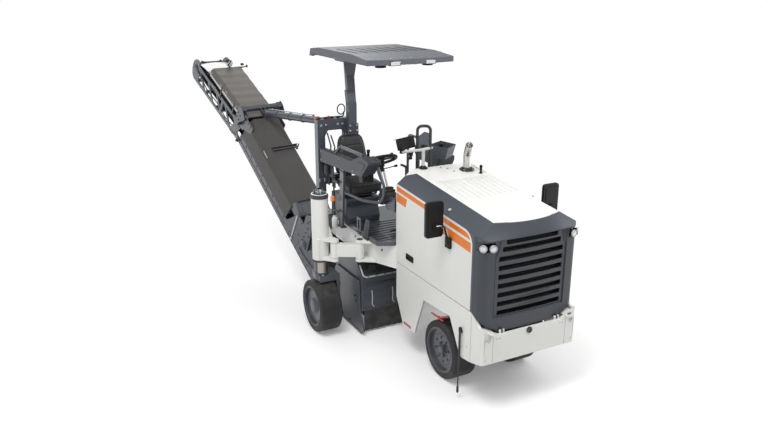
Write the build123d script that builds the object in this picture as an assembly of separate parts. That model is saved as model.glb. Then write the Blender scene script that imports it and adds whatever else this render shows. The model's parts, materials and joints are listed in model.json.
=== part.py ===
"""Compact cold planer on four solid tyres: rear-mounted milling drum, rear discharge conveyor, canopy over the seat.

Machine axes: +X forward, +Y to the driver's left, +Z up, z = 0 on the ground, millimetres.
The datum while modelling is the hood's rear edge on the centre line; export moves every piece so that the
origin is at the middle of the whole machine's footprint (see FOOTPRINT at the end).
"""
from build123d import *
import os
from math import atan, cos, degrees, hypot, radians, sin

os.makedirs("parts", exist_ok=True)

# ---------------------------------------------------------------- driving dimensions (mm)
# general clearances
PIN_CLEAR = 0.05          # radial running clearance of a pin in its bore
SEAT_CLEAR = 0.3          # gap between a seated piece and its seat
MOVE_CLEAR = 6.0          # gap between a moving piece and its neighbours

# wheels
TYRE_R = 285.0
TYRE_W = 240.0
TYRE_SHOULDER = 22.0
RIM_R = TYRE_R - 69.0
RIM_WALL = 14.0
RIM_DISC = 22.0
RIM_DISH = 34.0           # the disc sits this far inside the tyre's outer face
HUB_R = 84.0
STUB_R = 32.0
BOLT_R = 10.0
BOLT_CIRCLE_R = 62.0
BOLT_COUNT = 6
HOOD_LENGTH = 1355.0
FRONT_AXLE_X = HOOD_LENGTH - 543.0
FRONT_WHEEL_Y = 359.0     # half track
REAR_AXLE_X = -665.0
REAR_RIGHT_Y = -1062.0
REAR_LEFT_Y = 535.0
STEER_LIMIT = 30.0        # degrees

# front axle
KING_PIN_Y = 170.0
KING_PIN_R = 20.0
KING_BOSS_R = 36.0
KING_BOSS_HALF = 74.0     # half height of the boss
KNUCKLE_PLATE = 24.0
AXLE_HALF_X = 56.0
AXLE_HALF_Z = 52.0

# hood: rear and front sections, each (half width, seam z, shoulder z, roof z, roof half width)
HOOD_HALF = 510.0
HOOD_SEAM_Z = 915.0
HOOD_REAR = (HOOD_HALF, HOOD_SEAM_Z, 1732.0, 1852.0, 350.0)
HOOD_FRONT = (HOOD_HALF, HOOD_SEAM_Z, 1620.0, 1716.0, 350.0)
ROOF_RIB_X = (400.0, 890.0)
ROOF_RIBS = 10
ROOF_RIB_PITCH = 62.0
ROOF_RIB_LEFT_Y = 313.0
ROOF_RIB_HALF = 9.0
ROOF_RIB_RISE = 4.0
HOOD_WALL = 25.0
MIRROR_PLACE = (920.0, 642.0, 1648.0)
MIRROR_HALF = (90.0, 164.0)    # half width and half height
MIRROR_CORNER = 30.0
MIRROR_FOOT = (978.0, 1432.0)   # (x, z) of the holder on the hood's side
MIRROR_ARM_R = 9.0
MIRROR_ARM_BEND = 14.0
HOOD_TILT = 45.0          # degrees
COWL_LENGTH = 320.0       # fixed roof plate behind the hinged hood
COWL_HALF = 320.0
EXHAUST = (172.0, 192.0)   # (x, y)

# front unit with the cooling slots
NOSE_FACE_X = HOOD_LENGTH + 127.0
NOSE_BULGE = 26.0
NOSE_BOTTOM_Z = 750.0
NOSE_WALL = 26.0
NOSE_CORNER_R = 78.0
NOSE_EDGE_FRONT = ((0.0, 750.0), (330.0, 750.0), (390.0, 786.0), (453.0, 822.0), (472.0, 865.0), (482.0, 912.0),
                   (520.0, 912.0))   # (y, z)
NOSE_EDGE_SIDE = ((-10.0, 912.0), (18.0, 903.0), (98.0, 862.0), (135.0, 815.0), (180.0, 755.0))   # (x past the hood, z)
FRAME_HALF = 378.0        # recessed field round the slots
FRAME_Z = (884.0, 1588.0)
FRAME_DEPTH = 8.0
LAMP_Z = 1532.0
LAMP_R = 27.0
LAMP_POCKET_Z = (1494.0, 1572.0)
LAMP_POCKET = ((10.0, 512.0), (80.0, 474.0), (96.0, 392.0), (190.0, 392.0), (190.0, 540.0), (10.0, 540.0))
LAMPS = ((108.0, 486.0, 45.0), (142.0, 424.0, 12.0))   # (x past the hood, y, degrees turned outwards)
SLOT_HEIGHT = 44.0
SHELL_TOP_Z = 1594.0      # underside of the front unit's roof
POCKET_WALL = 14.0
SLOT_PITCH = 82.0
SLOT_LOW_Z = 921.0
SLOT_COUNT = 7
SLOT_HALF = 340.0
BROW_Z = (1580.0, 1712.0)      # sloped band between the roof's front edge and the slots
BROW_LOW = (1485.0, 1511.0)    # its lower edge at the sides and in the middle, x
BROW_TOP = (1326.0, 1461.0)    # its upper edge
TOP_SLOTS = ((1495.0, 308.0), (1560.0, 272.0))     # (centre z, half width)

# bumper and side skirts
BUMPER_FRONT_X = HOOD_LENGTH + 183.0
BUMPER_Z = (475.0, 741.0)
BUMPER_REAR_Z = 430.0
BUMPER_SHELF_Z = (640.0, 666.0)
BUMPER_EAR = ((5.0, 899.0), (18.0, 893.0), (124.0, 814.0))   # side top: (x past the hood, z)
EAR_SLOPE_Y = 330.0       # the top edge climbs from here to the side
EAR_SLOPE = 0.45
BUMPER_WALL = 26.0
SKIRT_PLATE = 24.0
SKIRT_TOP_Z = HOOD_SEAM_Z - 10.0
EYE_BORE_R = 20.0
EYE_PLATE = 20.0
EYE_R = 44.0
EYE_Y = 425.0
EYE_AHEAD = 8.0           # the bore's centre ahead of the bumper's face

# hood hinge
HINGE_X = HOOD_LENGTH + 161.0
HINGE_Z = 765.0
HINGE_Y = 300.0
HINGE_PIN_R = 7.0
HINGE_EAR = 12.0
HINGE_EAR_R = 12.0

# chassis
RAIL_Y = (230.0, 290.0)
RAIL_Z = (640.0, 800.0)
DECK_Z = (830.0, 1070.0)
DECK_PLATE = 16.0
DECK_REAR_X = -1330.0
DECK_RIGHT_Y = -640.0
DECK_LEFT_Y = 400.0
DECK_NECK_Y = -498.0
DECK_CORNER_X = -330.0
FLOOR_THICK = 42.0
FLOOR_RIGHT_Y = -676.0
FLOOR_FRONT_X = -36.0
FLOOR_CORNER = (-105.0, -520.0)    # (x, y) where the cut corner starts, clear of the swung column

# swing mechanism of the right rear wheel: pivots P (frame) and Q (column bracket)
SWING_P = (-380.0, -740.0)
SWING_Q = (-512.0, -968.0)
BARREL_R = 46.0
BARREL_Z = (870.0, 1030.0)
SWING_PIN_R = 24.0
LUG_THICK = 34.0
SWING_LIMIT = 120.0       # degrees
SWING_RATIO = 0.5         # turn of the bracket on the arm per turn of the arm

# lifting columns
COLUMN_R = 90.0
COLUMN_Z = (800.0, 1500.0)
COLUMN_CAP = 38.0
COLUMN_LUG_Z = DECK_Z[1] - MOVE_CLEAR     # top of the column's lugs, under the floor when swung out
LEG_R = 72.0
LEG_TOP_Z = 1300.0
CROWN_Z = (2 * TYRE_R + 12.0, 2 * TYRE_R + 82.0)
FORK_PLATE = 38.0
FORK_GAP = 8.0
LEG_UP = 0.12             # metres
LEG_DOWN = 0.20

# milling drum
DRUM_X = -675.0
DRUM_Z = 345.0
DRUM_BODY_R = 235.0
DRUM_TIP_R = 300.0
DRUM_Y = (-715.0, -155.0)
HOUSING_X = (-1010.0, -350.0)
HOUSING_Y = (-740.0, -130.0)
HOUSING_Z = (150.0, 815.0)
HOUSING_PLATE = 15.0
PROTECTOR_PLATE = 15.0
PROTECTOR_PAD = 5.0
PROTECTOR_TOE_X = -264.0
PROTECTOR_BOTTOM_Z = 8.0
PROTECTOR_LIFT = 0.15     # metres
DOOR_LIFT = 0.15
CASE_LOW_Z = 592.0         # under side of the belt drive's case, clear of the lifted protector

# operator's place
SEAT_Y = -480.0
SEAT_X = (-1165.0, -680.0)
SEAT_HALF = 235.0
CUSHION_Z = (1440.0, 1560.0)
BACK_TOP_Z = 2040.0
WHEEL_CENTRE = (-425.0, SEAT_Y, 1872.0)
WHEEL_RING_R = 172.0
WHEEL_TUBE_R = 15.0
WHEEL_TILT = 28.0         # degrees, top of the column leans to the rear

# mast and canopy
MAST_X = (-1380.0, -1290.0)
MAST_POSTS = ((-805.0, -715.0), (-475.0, -395.0))   # (y low, y high)
MAST_TOP_Z = 2175.0
CANOPY_X = (-1975.0, -417.0)
CANOPY_Y = (-602.0, 410.0)
CANOPY_TOP_Z = 2920.0
CANOPY_RIM = 92.0
CANOPY_RIB = 4.0          # raised ribs on the roof's front half
CANOPY_ARCH = 46.0        # the front edge bulges forward by this much in the middle
CANOPY_TAIL = (92.0, 22.0)     # length and extra depth of the rim at the rear
CANOPY_LAMPS_Y = (-470.0, 150.0)
CANOPY_COLUMN_Y = -400.0
CANOPY_COLUMN_X = -1285.0

# conveyor, in its own axes: u along the belt from the lift pivot, v to its left, w square to the belt
SLEW_X = -1450.0
SLEW_Y = -590.0
SLEW_REST = 11.5          # degrees towards the right-hand side
SLEW_LIMIT = 25.0         # degrees to either side of straight
CONVEYOR_ELEVATION = 40.8
CONVEYOR_BEND = 10.4      # the upper half lies flatter by this many degrees
LUFF_BACK = 216.0         # lift pivot behind the slewing axis
LUFF_Z = 638.0
LUFF_DOWN = 14.0          # degrees
LUFF_UP = 3.0
CONVEYOR_TAIL_U = -480.0
CONVEYOR_HALF = 230.0
CONVEYOR_PLATE = 14.0
RAIL_W = -278.0           # underside of the lower rails, square to the belt
SIDE_W = (-130.0, 150.0)  # top of the lower half's side sheets, behind and ahead of the foot
FOOT_U = 330.0            # the deep side sheets end here
FOLD_U = 1831.0           # the lower rails bend here
RAIL_DEPTH = 44.0
UPPER_RAIL_T = (216.0, 262.0)
HEAD_S = 1475.0           # length of the upper half from the bend, in its own axes: s along, t square from the rail
HEAD_PLATE = ((1290.0, 0.0), (1400.0, 0.0), (1446.0, 40.0), (1472.0, 110.0), (1475.0, 170.0), (1462.0, 240.0),
              (1420.0, 296.0), (1360.0, 328.0), (1290.0, 334.0))   # (s, t)
FOLD_PLATE = ((1977.0, -298.0), (2077.0, -316.0), (2008.0, -21.0), (1975.0, 120.0), (1890.0, 170.0),
              (1650.0, 180.0), (1640.0, 90.0), (1860.0, -40.0))    # (u, w)
LATTICE_POSTS_S = (560.0, 1290.0)
BELT_HALF = 180.0
BELT_R = 90.0
BELT_THICK = 12.0
BELT_RISE = 170.0         # the belt's middle above the lower rail's underside
TAIL_PULLEY_U = -360.0
HEAD_PULLEY_S = 1372.0
LOWER_COVER = (330.0, 1790.0, 190.0)      # from u, to u, top w
UPPER_COVER = (-75.0, 985.0, 444.0)       # from s, to s, top t
YOKE_U = 1933.0
YOKE_W = 236.0
YOKE_HALF = 290.0
LIFT_EYE_Z = MAST_TOP_Z - 65.0
LIFT_BARREL = 1240.0
LIFT_INSIDE = 520.0       # length of rod inside the barrel at rest
LIFT_BARREL_R = 42.0
LIFT_ROD_R = 22.0
LIFT_PIN_R = 12.0
LIFT_EYE_R = 36.0
LIFT_EYE_THICK = 30.0
LIFT_NECK_R = 13.0
LIFT_NECK = 95.0          # the rod's thin neck behind its eye
LIFT_SWIVEL = 8.0         # radial play of the swivelling eye on the mast's pin
CLEVIS_GAP = 66.0
CLEVIS_PLATE = 14.0
CLEVIS_R = 34.0


# ---------------------------------------------------------------- small helpers
def block(x0, x1, y0, y1, z0, z1):
    """A box between two corners."""
    return Pos((x0 + x1) / 2, (y0 + y1) / 2, (z0 + z1) / 2) * Box(x1 - x0, y1 - y0, z1 - z0)


def prism_y(points, y0, y1):
    """An (x, z) outline pushed from y0 to y1."""
    face = make_face(Polyline(*[(x, y0, z) for x, z in points], close=True))
    return extrude(face, amount=y1 - y0, dir=(0, 1, 0))


def prism_x(points, x0, x1):
    """A (y, z) outline pushed from x0 to x1."""
    face = make_face(Polyline(*[(x0, y, z) for y, z in points], close=True))
    return extrude(face, amount=x1 - x0, dir=(1, 0, 0))


def prism_z(points, z0, z1):
    """An (x, y) outline pushed from z0 to z1."""
    face = make_face(Polyline(*[(x, y, z0) for x, y in points], close=True))
    return extrude(face, amount=z1 - z0, dir=(0, 0, 1))


def bar(start, end, radius):
    """A round bar between two points."""
    direction = Vector(*end) - Vector(*start)
    place = Plane(origin=start, z_dir=direction)
    return place * Cylinder(radius, direction.length, align=(Align.CENTER, Align.CENTER, Align.MIN))


def pipe(points, radius, bend):
    """A bent round bar through the points, its corners turned on the bend radius."""
    route = FilletPolyline(*points, radius=bend)
    start = Plane(origin=points[0], z_dir=Vector(*points[1]) - Vector(*points[0]))
    return sweep(start * Circle(radius), path=route)


def solid_of(shape):
    """The single solid of a shape, or the shape itself when it holds several."""
    solids = shape.solids()
    return solids[0] if len(solids) == 1 else Compound(children=list(solids))


def mirrored(shape):
    """The shape on the other side of the centre line."""
    return mirror(shape, about=Plane.XZ)


# ---------------------------------------------------------------- wheels
def wheel_tyre():
    """Solid rubber tyre about the Y axis, at the origin."""
    band = Pos((RIM_R + TYRE_R) / 2, 0) * Rectangle(TYRE_R - RIM_R, TYRE_W)
    band = fillet(band.vertices().group_by(Axis.X)[-1], TYRE_SHOULDER)
    return revolve(band, axis=Axis.Y)


def wheel_rim(side):
    """Rim barrel, dished disc, hub and wheel bolts; side is -1 when the outer face looks to the right."""
    outer = RIM_R - SEAT_CLEAR
    inner = outer - RIM_WALL
    half = TYRE_W / 2 - 6.0
    ring = Rot(90, 0, 0) * (Cylinder(outer, 2 * half) - Cylinder(inner, 2 * half))
    disc_y = side * (TYRE_W / 2 - RIM_DISH - RIM_DISC / 2)
    disc = Pos(0, disc_y, 0) * Rot(90, 0, 0) * Cylinder(inner + 2.0, RIM_DISC)
    hub_inner = -side * (TYRE_W / 2 - 60.0)
    hub_length = abs(disc_y - hub_inner)
    hub = Pos(0, (disc_y + hub_inner) / 2, 0) * Rot(90, 0, 0) * Cylinder(HUB_R, hub_length)
    cap = Pos(0, disc_y + side * 20.0, 0) * Rot(90, 0, 0) * Cylinder(STUB_R + 8.0, 18.0)
    rim = ring + disc + hub + cap
    for n in range(BOLT_COUNT):
        turn = radians(360.0 * n / BOLT_COUNT)
        spot = Pos(BOLT_CIRCLE_R * cos(turn), disc_y + side * (RIM_DISC / 2 + 5.0), BOLT_CIRCLE_R * sin(turn))
        rim += spot * Rot(90, 0, 0) * Cylinder(BOLT_R, 12.0)
    bore_end = disc_y - side * RIM_DISC / 2
    bore_start = hub_inner - side * 1.0
    bore = Pos(0, (bore_end + bore_start) / 2, 0) * Rot(90, 0, 0) * Cylinder(
        STUB_R + PIN_CLEAR, abs(bore_end - bore_start))
    return rim - bore


def stub_axle(x, y, side, start_y):
    """Stub axle into a wheel's hub from start_y; it stops short of the disc."""
    end_y = y + side * (TYRE_W / 2 - RIM_DISH - RIM_DISC - 6.0)
    return bar((x, start_y, TYRE_R), (x, end_y, TYRE_R), STUB_R)


# ---------------------------------------------------------------- front axle
def front_axle():
    """Beam with a king pin boss at each end and the hanger up to the rails."""
    beam = block(FRONT_AXLE_X - AXLE_HALF_X, FRONT_AXLE_X + AXLE_HALF_X, -KING_PIN_Y, KING_PIN_Y,
                 TYRE_R - AXLE_HALF_Z, TYRE_R + AXLE_HALF_Z)
    hanger = prism_y([(FRONT_AXLE_X - 90, RAIL_Z[0]), (FRONT_AXLE_X - 40, TYRE_R),
                      (FRONT_AXLE_X + 40, TYRE_R), (FRONT_AXLE_X + 90, RAIL_Z[0])], -80, 80)
    saddle = block(FRONT_AXLE_X - 90, FRONT_AXLE_X + 90, -RAIL_Y[0], RAIL_Y[0], RAIL_Z[0], RAIL_Z[0] + 60)
    axle = beam + hanger + saddle
    for side in (-1, 1):
        axle += Pos(FRONT_AXLE_X, side * KING_PIN_Y, TYRE_R) * Cylinder(KING_BOSS_R, 2 * KING_BOSS_HALF)
    for side in (-1, 1):
        axle -= Pos(FRONT_AXLE_X, side * KING_PIN_Y, TYRE_R) * Cylinder(KING_PIN_R + PIN_CLEAR,
                                                                        2 * KING_BOSS_HALF + 4)
    return axle


def knuckle(side):
    """C-shaped knuckle on its king pin, with the stub axle."""
    pin_y = side * KING_PIN_Y
    low = TYRE_R - KING_BOSS_HALF - MOVE_CLEAR - KNUCKLE_PLATE
    high = TYRE_R + KING_BOSS_HALF + MOVE_CLEAR + KNUCKLE_PLATE
    wall_in = KING_PIN_Y + KING_BOSS_R + MOVE_CLEAR
    wall_out = FRONT_WHEEL_Y - TYRE_W / 2 - MOVE_CLEAR
    ys = sorted((side * wall_in, side * wall_out))
    wall = block(FRONT_AXLE_X - 58, FRONT_AXLE_X + 58, ys[0], ys[1], low, high)
    pin = Pos(FRONT_AXLE_X, pin_y, TYRE_R) * Cylinder(KING_PIN_R, high - low)
    arm = wall + pin
    for z0 in (low, high - KNUCKLE_PLATE):
        plate_y = sorted((pin_y, side * wall_out))
        arm += block(FRONT_AXLE_X - 44, FRONT_AXLE_X + 44, plate_y[0], plate_y[1], z0, z0 + KNUCKLE_PLATE)
        arm += Pos(FRONT_AXLE_X, pin_y, z0 + KNUCKLE_PLATE / 2) * Cylinder(44, KNUCKLE_PLATE)
    return arm + stub_axle(FRONT_AXLE_X, side * FRONT_WHEEL_Y, side, side * wall_in)


# ---------------------------------------------------------------- chassis
def main_frame():
    """Rails under the hood, the deck over the drum and the lugs of the swing arm and the conveyor."""
    frame = None
    for side in (-1, 1):
        ys = sorted((side * RAIL_Y[0], side * RAIL_Y[1]))
        rail = block(DECK_CORNER_X, HOOD_LENGTH, ys[0], ys[1], RAIL_Z[0], RAIL_Z[1])
        frame = rail if frame is None else frame + rail
        frame += block(HOOD_LENGTH - 100, BUMPER_FRONT_X - BUMPER_WALL, ys[0], ys[1],
                       RAIL_Z[0] - 60, BUMPER_SHELF_Z[0])
        frame += block(DECK_CORNER_X + 20, -40, ys[0], ys[1], RAIL_Z[1], DECK_Z[0] + DECK_PLATE)
    outrigger = HOOD_HALF - SKIRT_PLATE
    for x0 in (20.0, HOOD_LENGTH - 125.0):
        frame += block(x0, x0 + 60, -outrigger, outrigger, RAIL_Z[0] + 60, RAIL_Z[1] - 20)
    outline = [(-4, DECK_NECK_Y), (DECK_CORNER_X, DECK_RIGHT_Y), (DECK_REAR_X, DECK_RIGHT_Y),
               (DECK_REAR_X, DECK_LEFT_Y), (-4, DECK_LEFT_Y)]
    inside = [(-4 - DECK_PLATE, DECK_NECK_Y + 20), (DECK_CORNER_X - 6, DECK_RIGHT_Y + DECK_PLATE),
              (DECK_REAR_X + DECK_PLATE, DECK_RIGHT_Y + DECK_PLATE),
              (DECK_REAR_X + DECK_PLATE, DECK_LEFT_Y - DECK_PLATE), (-4 - DECK_PLATE, DECK_LEFT_Y - DECK_PLATE)]
    deck = prism_z(outline, DECK_Z[0], DECK_Z[1])
    deck -= prism_z(inside, DECK_Z[0] + DECK_PLATE, DECK_Z[1] - DECK_PLATE)
    frame += deck
    # lugs above and below the swing arm's barrel
    px, py = SWING_P
    for z0, z1 in ((DECK_Z[1] - LUG_THICK, DECK_Z[1]), (DECK_Z[0], DECK_Z[0] + LUG_THICK)):
        frame += prism_z([(px - 110, DECK_RIGHT_Y + 4), (px - BARREL_R, py), (px + BARREL_R, py),
                          (px + 130, DECK_RIGHT_Y + 24)], z0, z1)
        frame += Pos(px, py, (z0 + z1) / 2) * Cylinder(BARREL_R + 2, z1 - z0)
    frame += Pos(px, py, (DECK_Z[0] + DECK_Z[1]) / 2) * Cylinder(SWING_PIN_R, DECK_Z[1] - DECK_Z[0])
    # rear lugs and pin of the conveyor's slewing bracket
    for z0, z1 in ((DECK_Z[1] - LUG_THICK, DECK_Z[1]), (DECK_Z[0], DECK_Z[0] + LUG_THICK)):
        frame += prism_z([(DECK_REAR_X + 4, SLEW_Y - 44), (SLEW_X, SLEW_Y - BARREL_R - 6),
                          (SLEW_X, SLEW_Y + BARREL_R + 6), (DECK_REAR_X + 4, SLEW_Y + 150)], z0, z1)
        frame += Pos(SLEW_X, SLEW_Y, (z0 + z1) / 2) * Cylinder(BARREL_R + 6, z1 - z0)
    frame += Pos(SLEW_X, SLEW_Y, (DECK_Z[0] + DECK_Z[1]) / 2) * Cylinder(SWING_PIN_R, DECK_Z[1] - DECK_Z[0])
    return frame


def side_skirts():
    """Lower side panels with the front wheel arches."""
    x = FRONT_AXLE_X
    z = TYRE_R
    outline = [(0, SKIRT_TOP_Z), (0, 541), (150, 261), (x - 427, 272), (x - 396, z + 83), (x - 262, z + 415),
               (x + 201, z + 446), (x + 380, z + 140), (x + 420, z + 128), (HOOD_LENGTH, BUMPER_REAR_Z),
               (HOOD_LENGTH, SKIRT_TOP_Z)]
    right = prism_y(outline, -HOOD_HALF, -HOOD_HALF + SKIRT_PLATE)
    return right, mirrored(right)


def front_bumper():
    """Wrap-round bumper: front wall, side walls that climb to the seam, hinge ears and two lashing eyes."""
    x0 = HOOD_LENGTH + 5
    side = [(x0, BUMPER_REAR_Z), (BUMPER_FRONT_X, BUMPER_Z[0]), (BUMPER_FRONT_X, ear_top(HOOD_HALF))]
    side += [(HOOD_LENGTH + x, z) for x, z in reversed(BUMPER_EAR)]
    body = prism_y(side, -HOOD_HALF, HOOD_HALF)
    body = fillet(body.edges().filter_by(Axis.Z).group_by(Axis.X)[-1], BUMPER_WALL)
    inner = HOOD_HALF - BUMPER_WALL
    body -= block(x0 - 10, BUMPER_FRONT_X - BUMPER_WALL, -inner, inner, BUMPER_REAR_Z - 50, 1000)
    over = [(-EAR_SLOPE_Y, BUMPER_Z[1]), (EAR_SLOPE_Y, BUMPER_Z[1]), (HOOD_HALF + 1, ear_top(HOOD_HALF + 1)),
            (HOOD_HALF + 1, 1000), (-HOOD_HALF - 1, 1000), (-HOOD_HALF - 1, ear_top(HOOD_HALF + 1))]
    body -= prism_x(over, HOOD_LENGTH + BUMPER_EAR[-1][0], BUMPER_FRONT_X + 1)
    body += block(x0 + 60, BUMPER_FRONT_X - 2, -inner - 2, inner + 2, *BUMPER_SHELF_Z)
    for side in (-1, 1):
        place = eye_place(side)
        plate = Pos(-EYE_R, 0, 0) * Box(2 * EYE_R, 2 * EYE_R, EYE_PLATE) + Cylinder(EYE_R, EYE_PLATE)
        body += place * plate
        body -= place * Cylinder(EYE_BORE_R, EYE_PLATE + 2)
        body -= place * Pos(0, 0, -EYE_PLATE / 2 - 40) * Cylinder(EYE_BORE_R + 4, 80)
        for offset in (-1, 1):
            ear_y = side * HINGE_Y + offset * (HINGE_EAR + MOVE_CLEAR)
            body += block(HINGE_X - HINGE_EAR_R, HINGE_X + HINGE_EAR_R, ear_y - HINGE_EAR / 2, ear_y + HINGE_EAR / 2,
                          BUMPER_SHELF_Z[0], HINGE_Z)
            body += Pos(HINGE_X, ear_y, HINGE_Z) * Rot(90, 0, 0) * Cylinder(HINGE_EAR_R, HINGE_EAR)
        body += Pos(HINGE_X, side * HINGE_Y, HINGE_Z) * Rot(90, 0, 0) * Cylinder(HINGE_PIN_R, 3 * HINGE_EAR + 8)
    return body


def ear_top(y):
    """Height of the bumper's top edge at that distance from the centre line."""
    return BUMPER_Z[1] + EAR_SLOPE * max(0.0, abs(y) - EAR_SLOPE_Y)


def eye_place(side):
    """Middle of a lashing eye's bore, its plate laid on the sloping top edge at the bumper's corner."""
    slope = side * atan(EAR_SLOPE)
    down = EYE_PLATE / 2 / cos(slope)
    return Pos(BUMPER_FRONT_X + EYE_AHEAD, side * EYE_Y, ear_top(EYE_Y) - down) * Rot(degrees(slope), 0, 0)


def engine_block():
    """The engine as one plain block on the rails."""
    return block(330, HOOD_LENGTH - 225, -RAIL_Y[1], RAIL_Y[1], RAIL_Z[1], 1480)


# ---------------------------------------------------------------- hood, nose, cowl
def hood_section(x, section, inset=0.0, drop=0.0):
    """The hood's cross-section at x as a face, moved inwards by the inset and down by the drop."""
    half, seam, shoulder, roof, roof_half = section
    points = [(-half + inset, seam - drop), (-half + inset, shoulder - inset * 0.35), (-roof_half + inset * 0.5,
              roof - inset), (roof_half - inset * 0.5, roof - inset), (half - inset, shoulder - inset * 0.35),
              (half - inset, seam - drop)]
    return make_face(Polyline(*[(x, y, z) for y, z in points], close=True))


def section_at(x):
    """The hood's section numbers at x, by straight rule from the rear section to the front one."""
    share = x / HOOD_LENGTH
    return tuple(a + (b - a) * share for a, b in zip(HOOD_REAR, HOOD_FRONT))


def hood_shell():
    """Tilting hood: side panels, shoulder bands and roof, open below, behind and over the fixed cowl."""
    outer = loft([hood_section(0, HOOD_REAR), hood_section(HOOD_LENGTH, HOOD_FRONT)], ruled=True)
    inner = loft([hood_section(-20, section_at(-20), HOOD_WALL, 40),
                  hood_section(HOOD_LENGTH + 20, section_at(HOOD_LENGTH + 20), HOOD_WALL, 40)], ruled=True)
    cut = block(-10, COWL_LENGTH + MOVE_CLEAR, -COWL_HALF - MOVE_CLEAR, COWL_HALF + MOVE_CLEAR, 1700, 1900)
    shell = outer - inner - cut
    slope = (HOOD_REAR[3] - HOOD_FRONT[3]) / HOOD_LENGTH
    x0, x1 = ROOF_RIB_X
    top = [(x0, HOOD_REAR[3] - slope * x0), (x1, HOOD_REAR[3] - slope * x1)]
    profile = [(x0, top[0][1] - 2), (x0 + 20, top[0][1] + ROOF_RIB_RISE), (x1 - 20, top[1][1] + ROOF_RIB_RISE),
               (x1, top[1][1] - 2)]
    for n in range(ROOF_RIBS):
        y = ROOF_RIB_LEFT_Y - ROOF_RIB_PITCH * n
        shell += prism_y(profile, y - ROOF_RIB_HALF, y + ROOF_RIB_HALF)
    return shell


def nose_outline(inset):
    """Plan of the front unit with its bulged face, moved inwards by the inset."""
    half = HOOD_HALF - inset
    face = NOSE_FACE_X - inset
    rear = HOOD_LENGTH - (10 if inset else 0)
    edge = [Line((rear, -half), (face, -half)), ThreePointArc((face, -half), (face + NOSE_BULGE, 0), (face, half)),
            Line((face, half), (rear, half)), Line((rear, half), (rear, -half))]
    return make_face(edge)


def nose_underside():
    """Space under the front unit: its lower edge runs level in the middle and climbs to the seam at the sides."""
    low = NOSE_BOTTOM_Z - 60
    across = [(y, z) for y, z in NOSE_EDGE_FRONT[1:]] + [(520, low), (-520, low)]
    across += [(-y, z) for y, z in reversed(NOSE_EDGE_FRONT[1:])]
    along = [(HOOD_LENGTH + x, z) for x, z in NOSE_EDGE_SIDE]
    along += [(along[-1][0], low), (along[0][0], low)]
    return prism_x(across, HOOD_LENGTH - 10, NOSE_FACE_X + 60) & prism_y(along, -530, 530)


def brow_cut():
    """Space ahead of the sloped band that joins the arched front edge of the roof to the bulged face."""
    outlines = []
    for z, (x_side, x_middle) in zip(BROW_Z, (BROW_LOW, BROW_TOP)):
        arc = ThreePointArc((x_side, -HOOD_HALF), (x_middle, 0), (x_side, HOOD_HALF))
        ahead = NOSE_FACE_X + 120
        rest = Polyline((x_side, HOOD_HALF), (ahead, HOOD_HALF), (ahead, -HOOD_HALF), (x_side, -HOOD_HALF))
        outlines.append(Pos(0, 0, z) * make_face([arc, rest]))
    return loft(outlines, ruled=True)


def lamp_pocket(side, grow):
    """Corner recess that holds a pair of lamps, or with grow the wall round it."""
    z0, z1 = LAMP_POCKET_Z
    plan = [(HOOD_LENGTH + x - grow, side * (y - grow)) for x, y in LAMP_POCKET[:3]]
    plan += [(HOOD_LENGTH + x, side * (y - grow)) for x, y in LAMP_POCKET[3:4]]
    plan += [(HOOD_LENGTH + x, side * y) for x, y in LAMP_POCKET[4:]]
    return prism_z(plan, z0 - grow, z1 + grow)


def hood_grille():
    """Front unit: bulged face, rounded corners, recessed field with the cooling slots, lamp recesses and hinge eyes."""
    height = 900
    shell = extrude(Pos(0, 0, NOSE_BOTTOM_Z) * nose_outline(0), amount=height)
    shell = fillet(shell.edges().filter_by(Axis.Z).group_by(Axis.X)[-1], NOSE_CORNER_R)
    limit_x = NOSE_FACE_X + NOSE_BULGE + 20
    limit = loft([hood_section(HOOD_LENGTH, section_at(HOOD_LENGTH), 0, 220),
                  hood_section(limit_x, section_at(limit_x), 0, 220)], ruled=True)
    shell = (shell & limit) - nose_underside() - brow_cut()
    hollow = extrude(Pos(0, 0, NOSE_BOTTOM_Z - 10) * nose_outline(NOSE_WALL), amount=SHELL_TOP_Z - NOSE_BOTTOM_Z + 10)
    hollow = fillet(hollow.edges().filter_by(Axis.Z).group_by(Axis.X)[-1], NOSE_CORNER_R - NOSE_WALL)
    field = block(NOSE_FACE_X - 40, NOSE_FACE_X + 60, -FRAME_HALF, FRAME_HALF, *FRAME_Z)
    body = shell - hollow - (field - Pos(-FRAME_DEPTH, 0, 0) * shell)
    slots = [(SLOT_LOW_Z + SLOT_PITCH * n, SLOT_HALF) for n in range(SLOT_COUNT)] + list(TOP_SLOTS)
    for z, half in slots:
        body -= block(NOSE_FACE_X - 60, NOSE_FACE_X + 60, -half, half, z - SLOT_HEIGHT / 2, z + SLOT_HEIGHT / 2)
    for side in (-1, 1):
        body += lamp_pocket(side, POCKET_WALL) & shell
        body -= lamp_pocket(side, 0)
        y = side * HINGE_Y
        body += block(HINGE_X - 26, HINGE_X, y - HINGE_EAR / 2, y + HINGE_EAR / 2, HINGE_Z - 10, HINGE_Z + 26)
        body += Pos(HINGE_X, y, HINGE_Z) * Rot(90, 0, 0) * Cylinder(HINGE_EAR_R, HINGE_EAR)
        body -= Pos(HINGE_X, y, HINGE_Z) * Rot(90, 0, 0) * Cylinder(HINGE_PIN_R + PIN_CLEAR, HINGE_EAR + 4)
    return body


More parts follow.
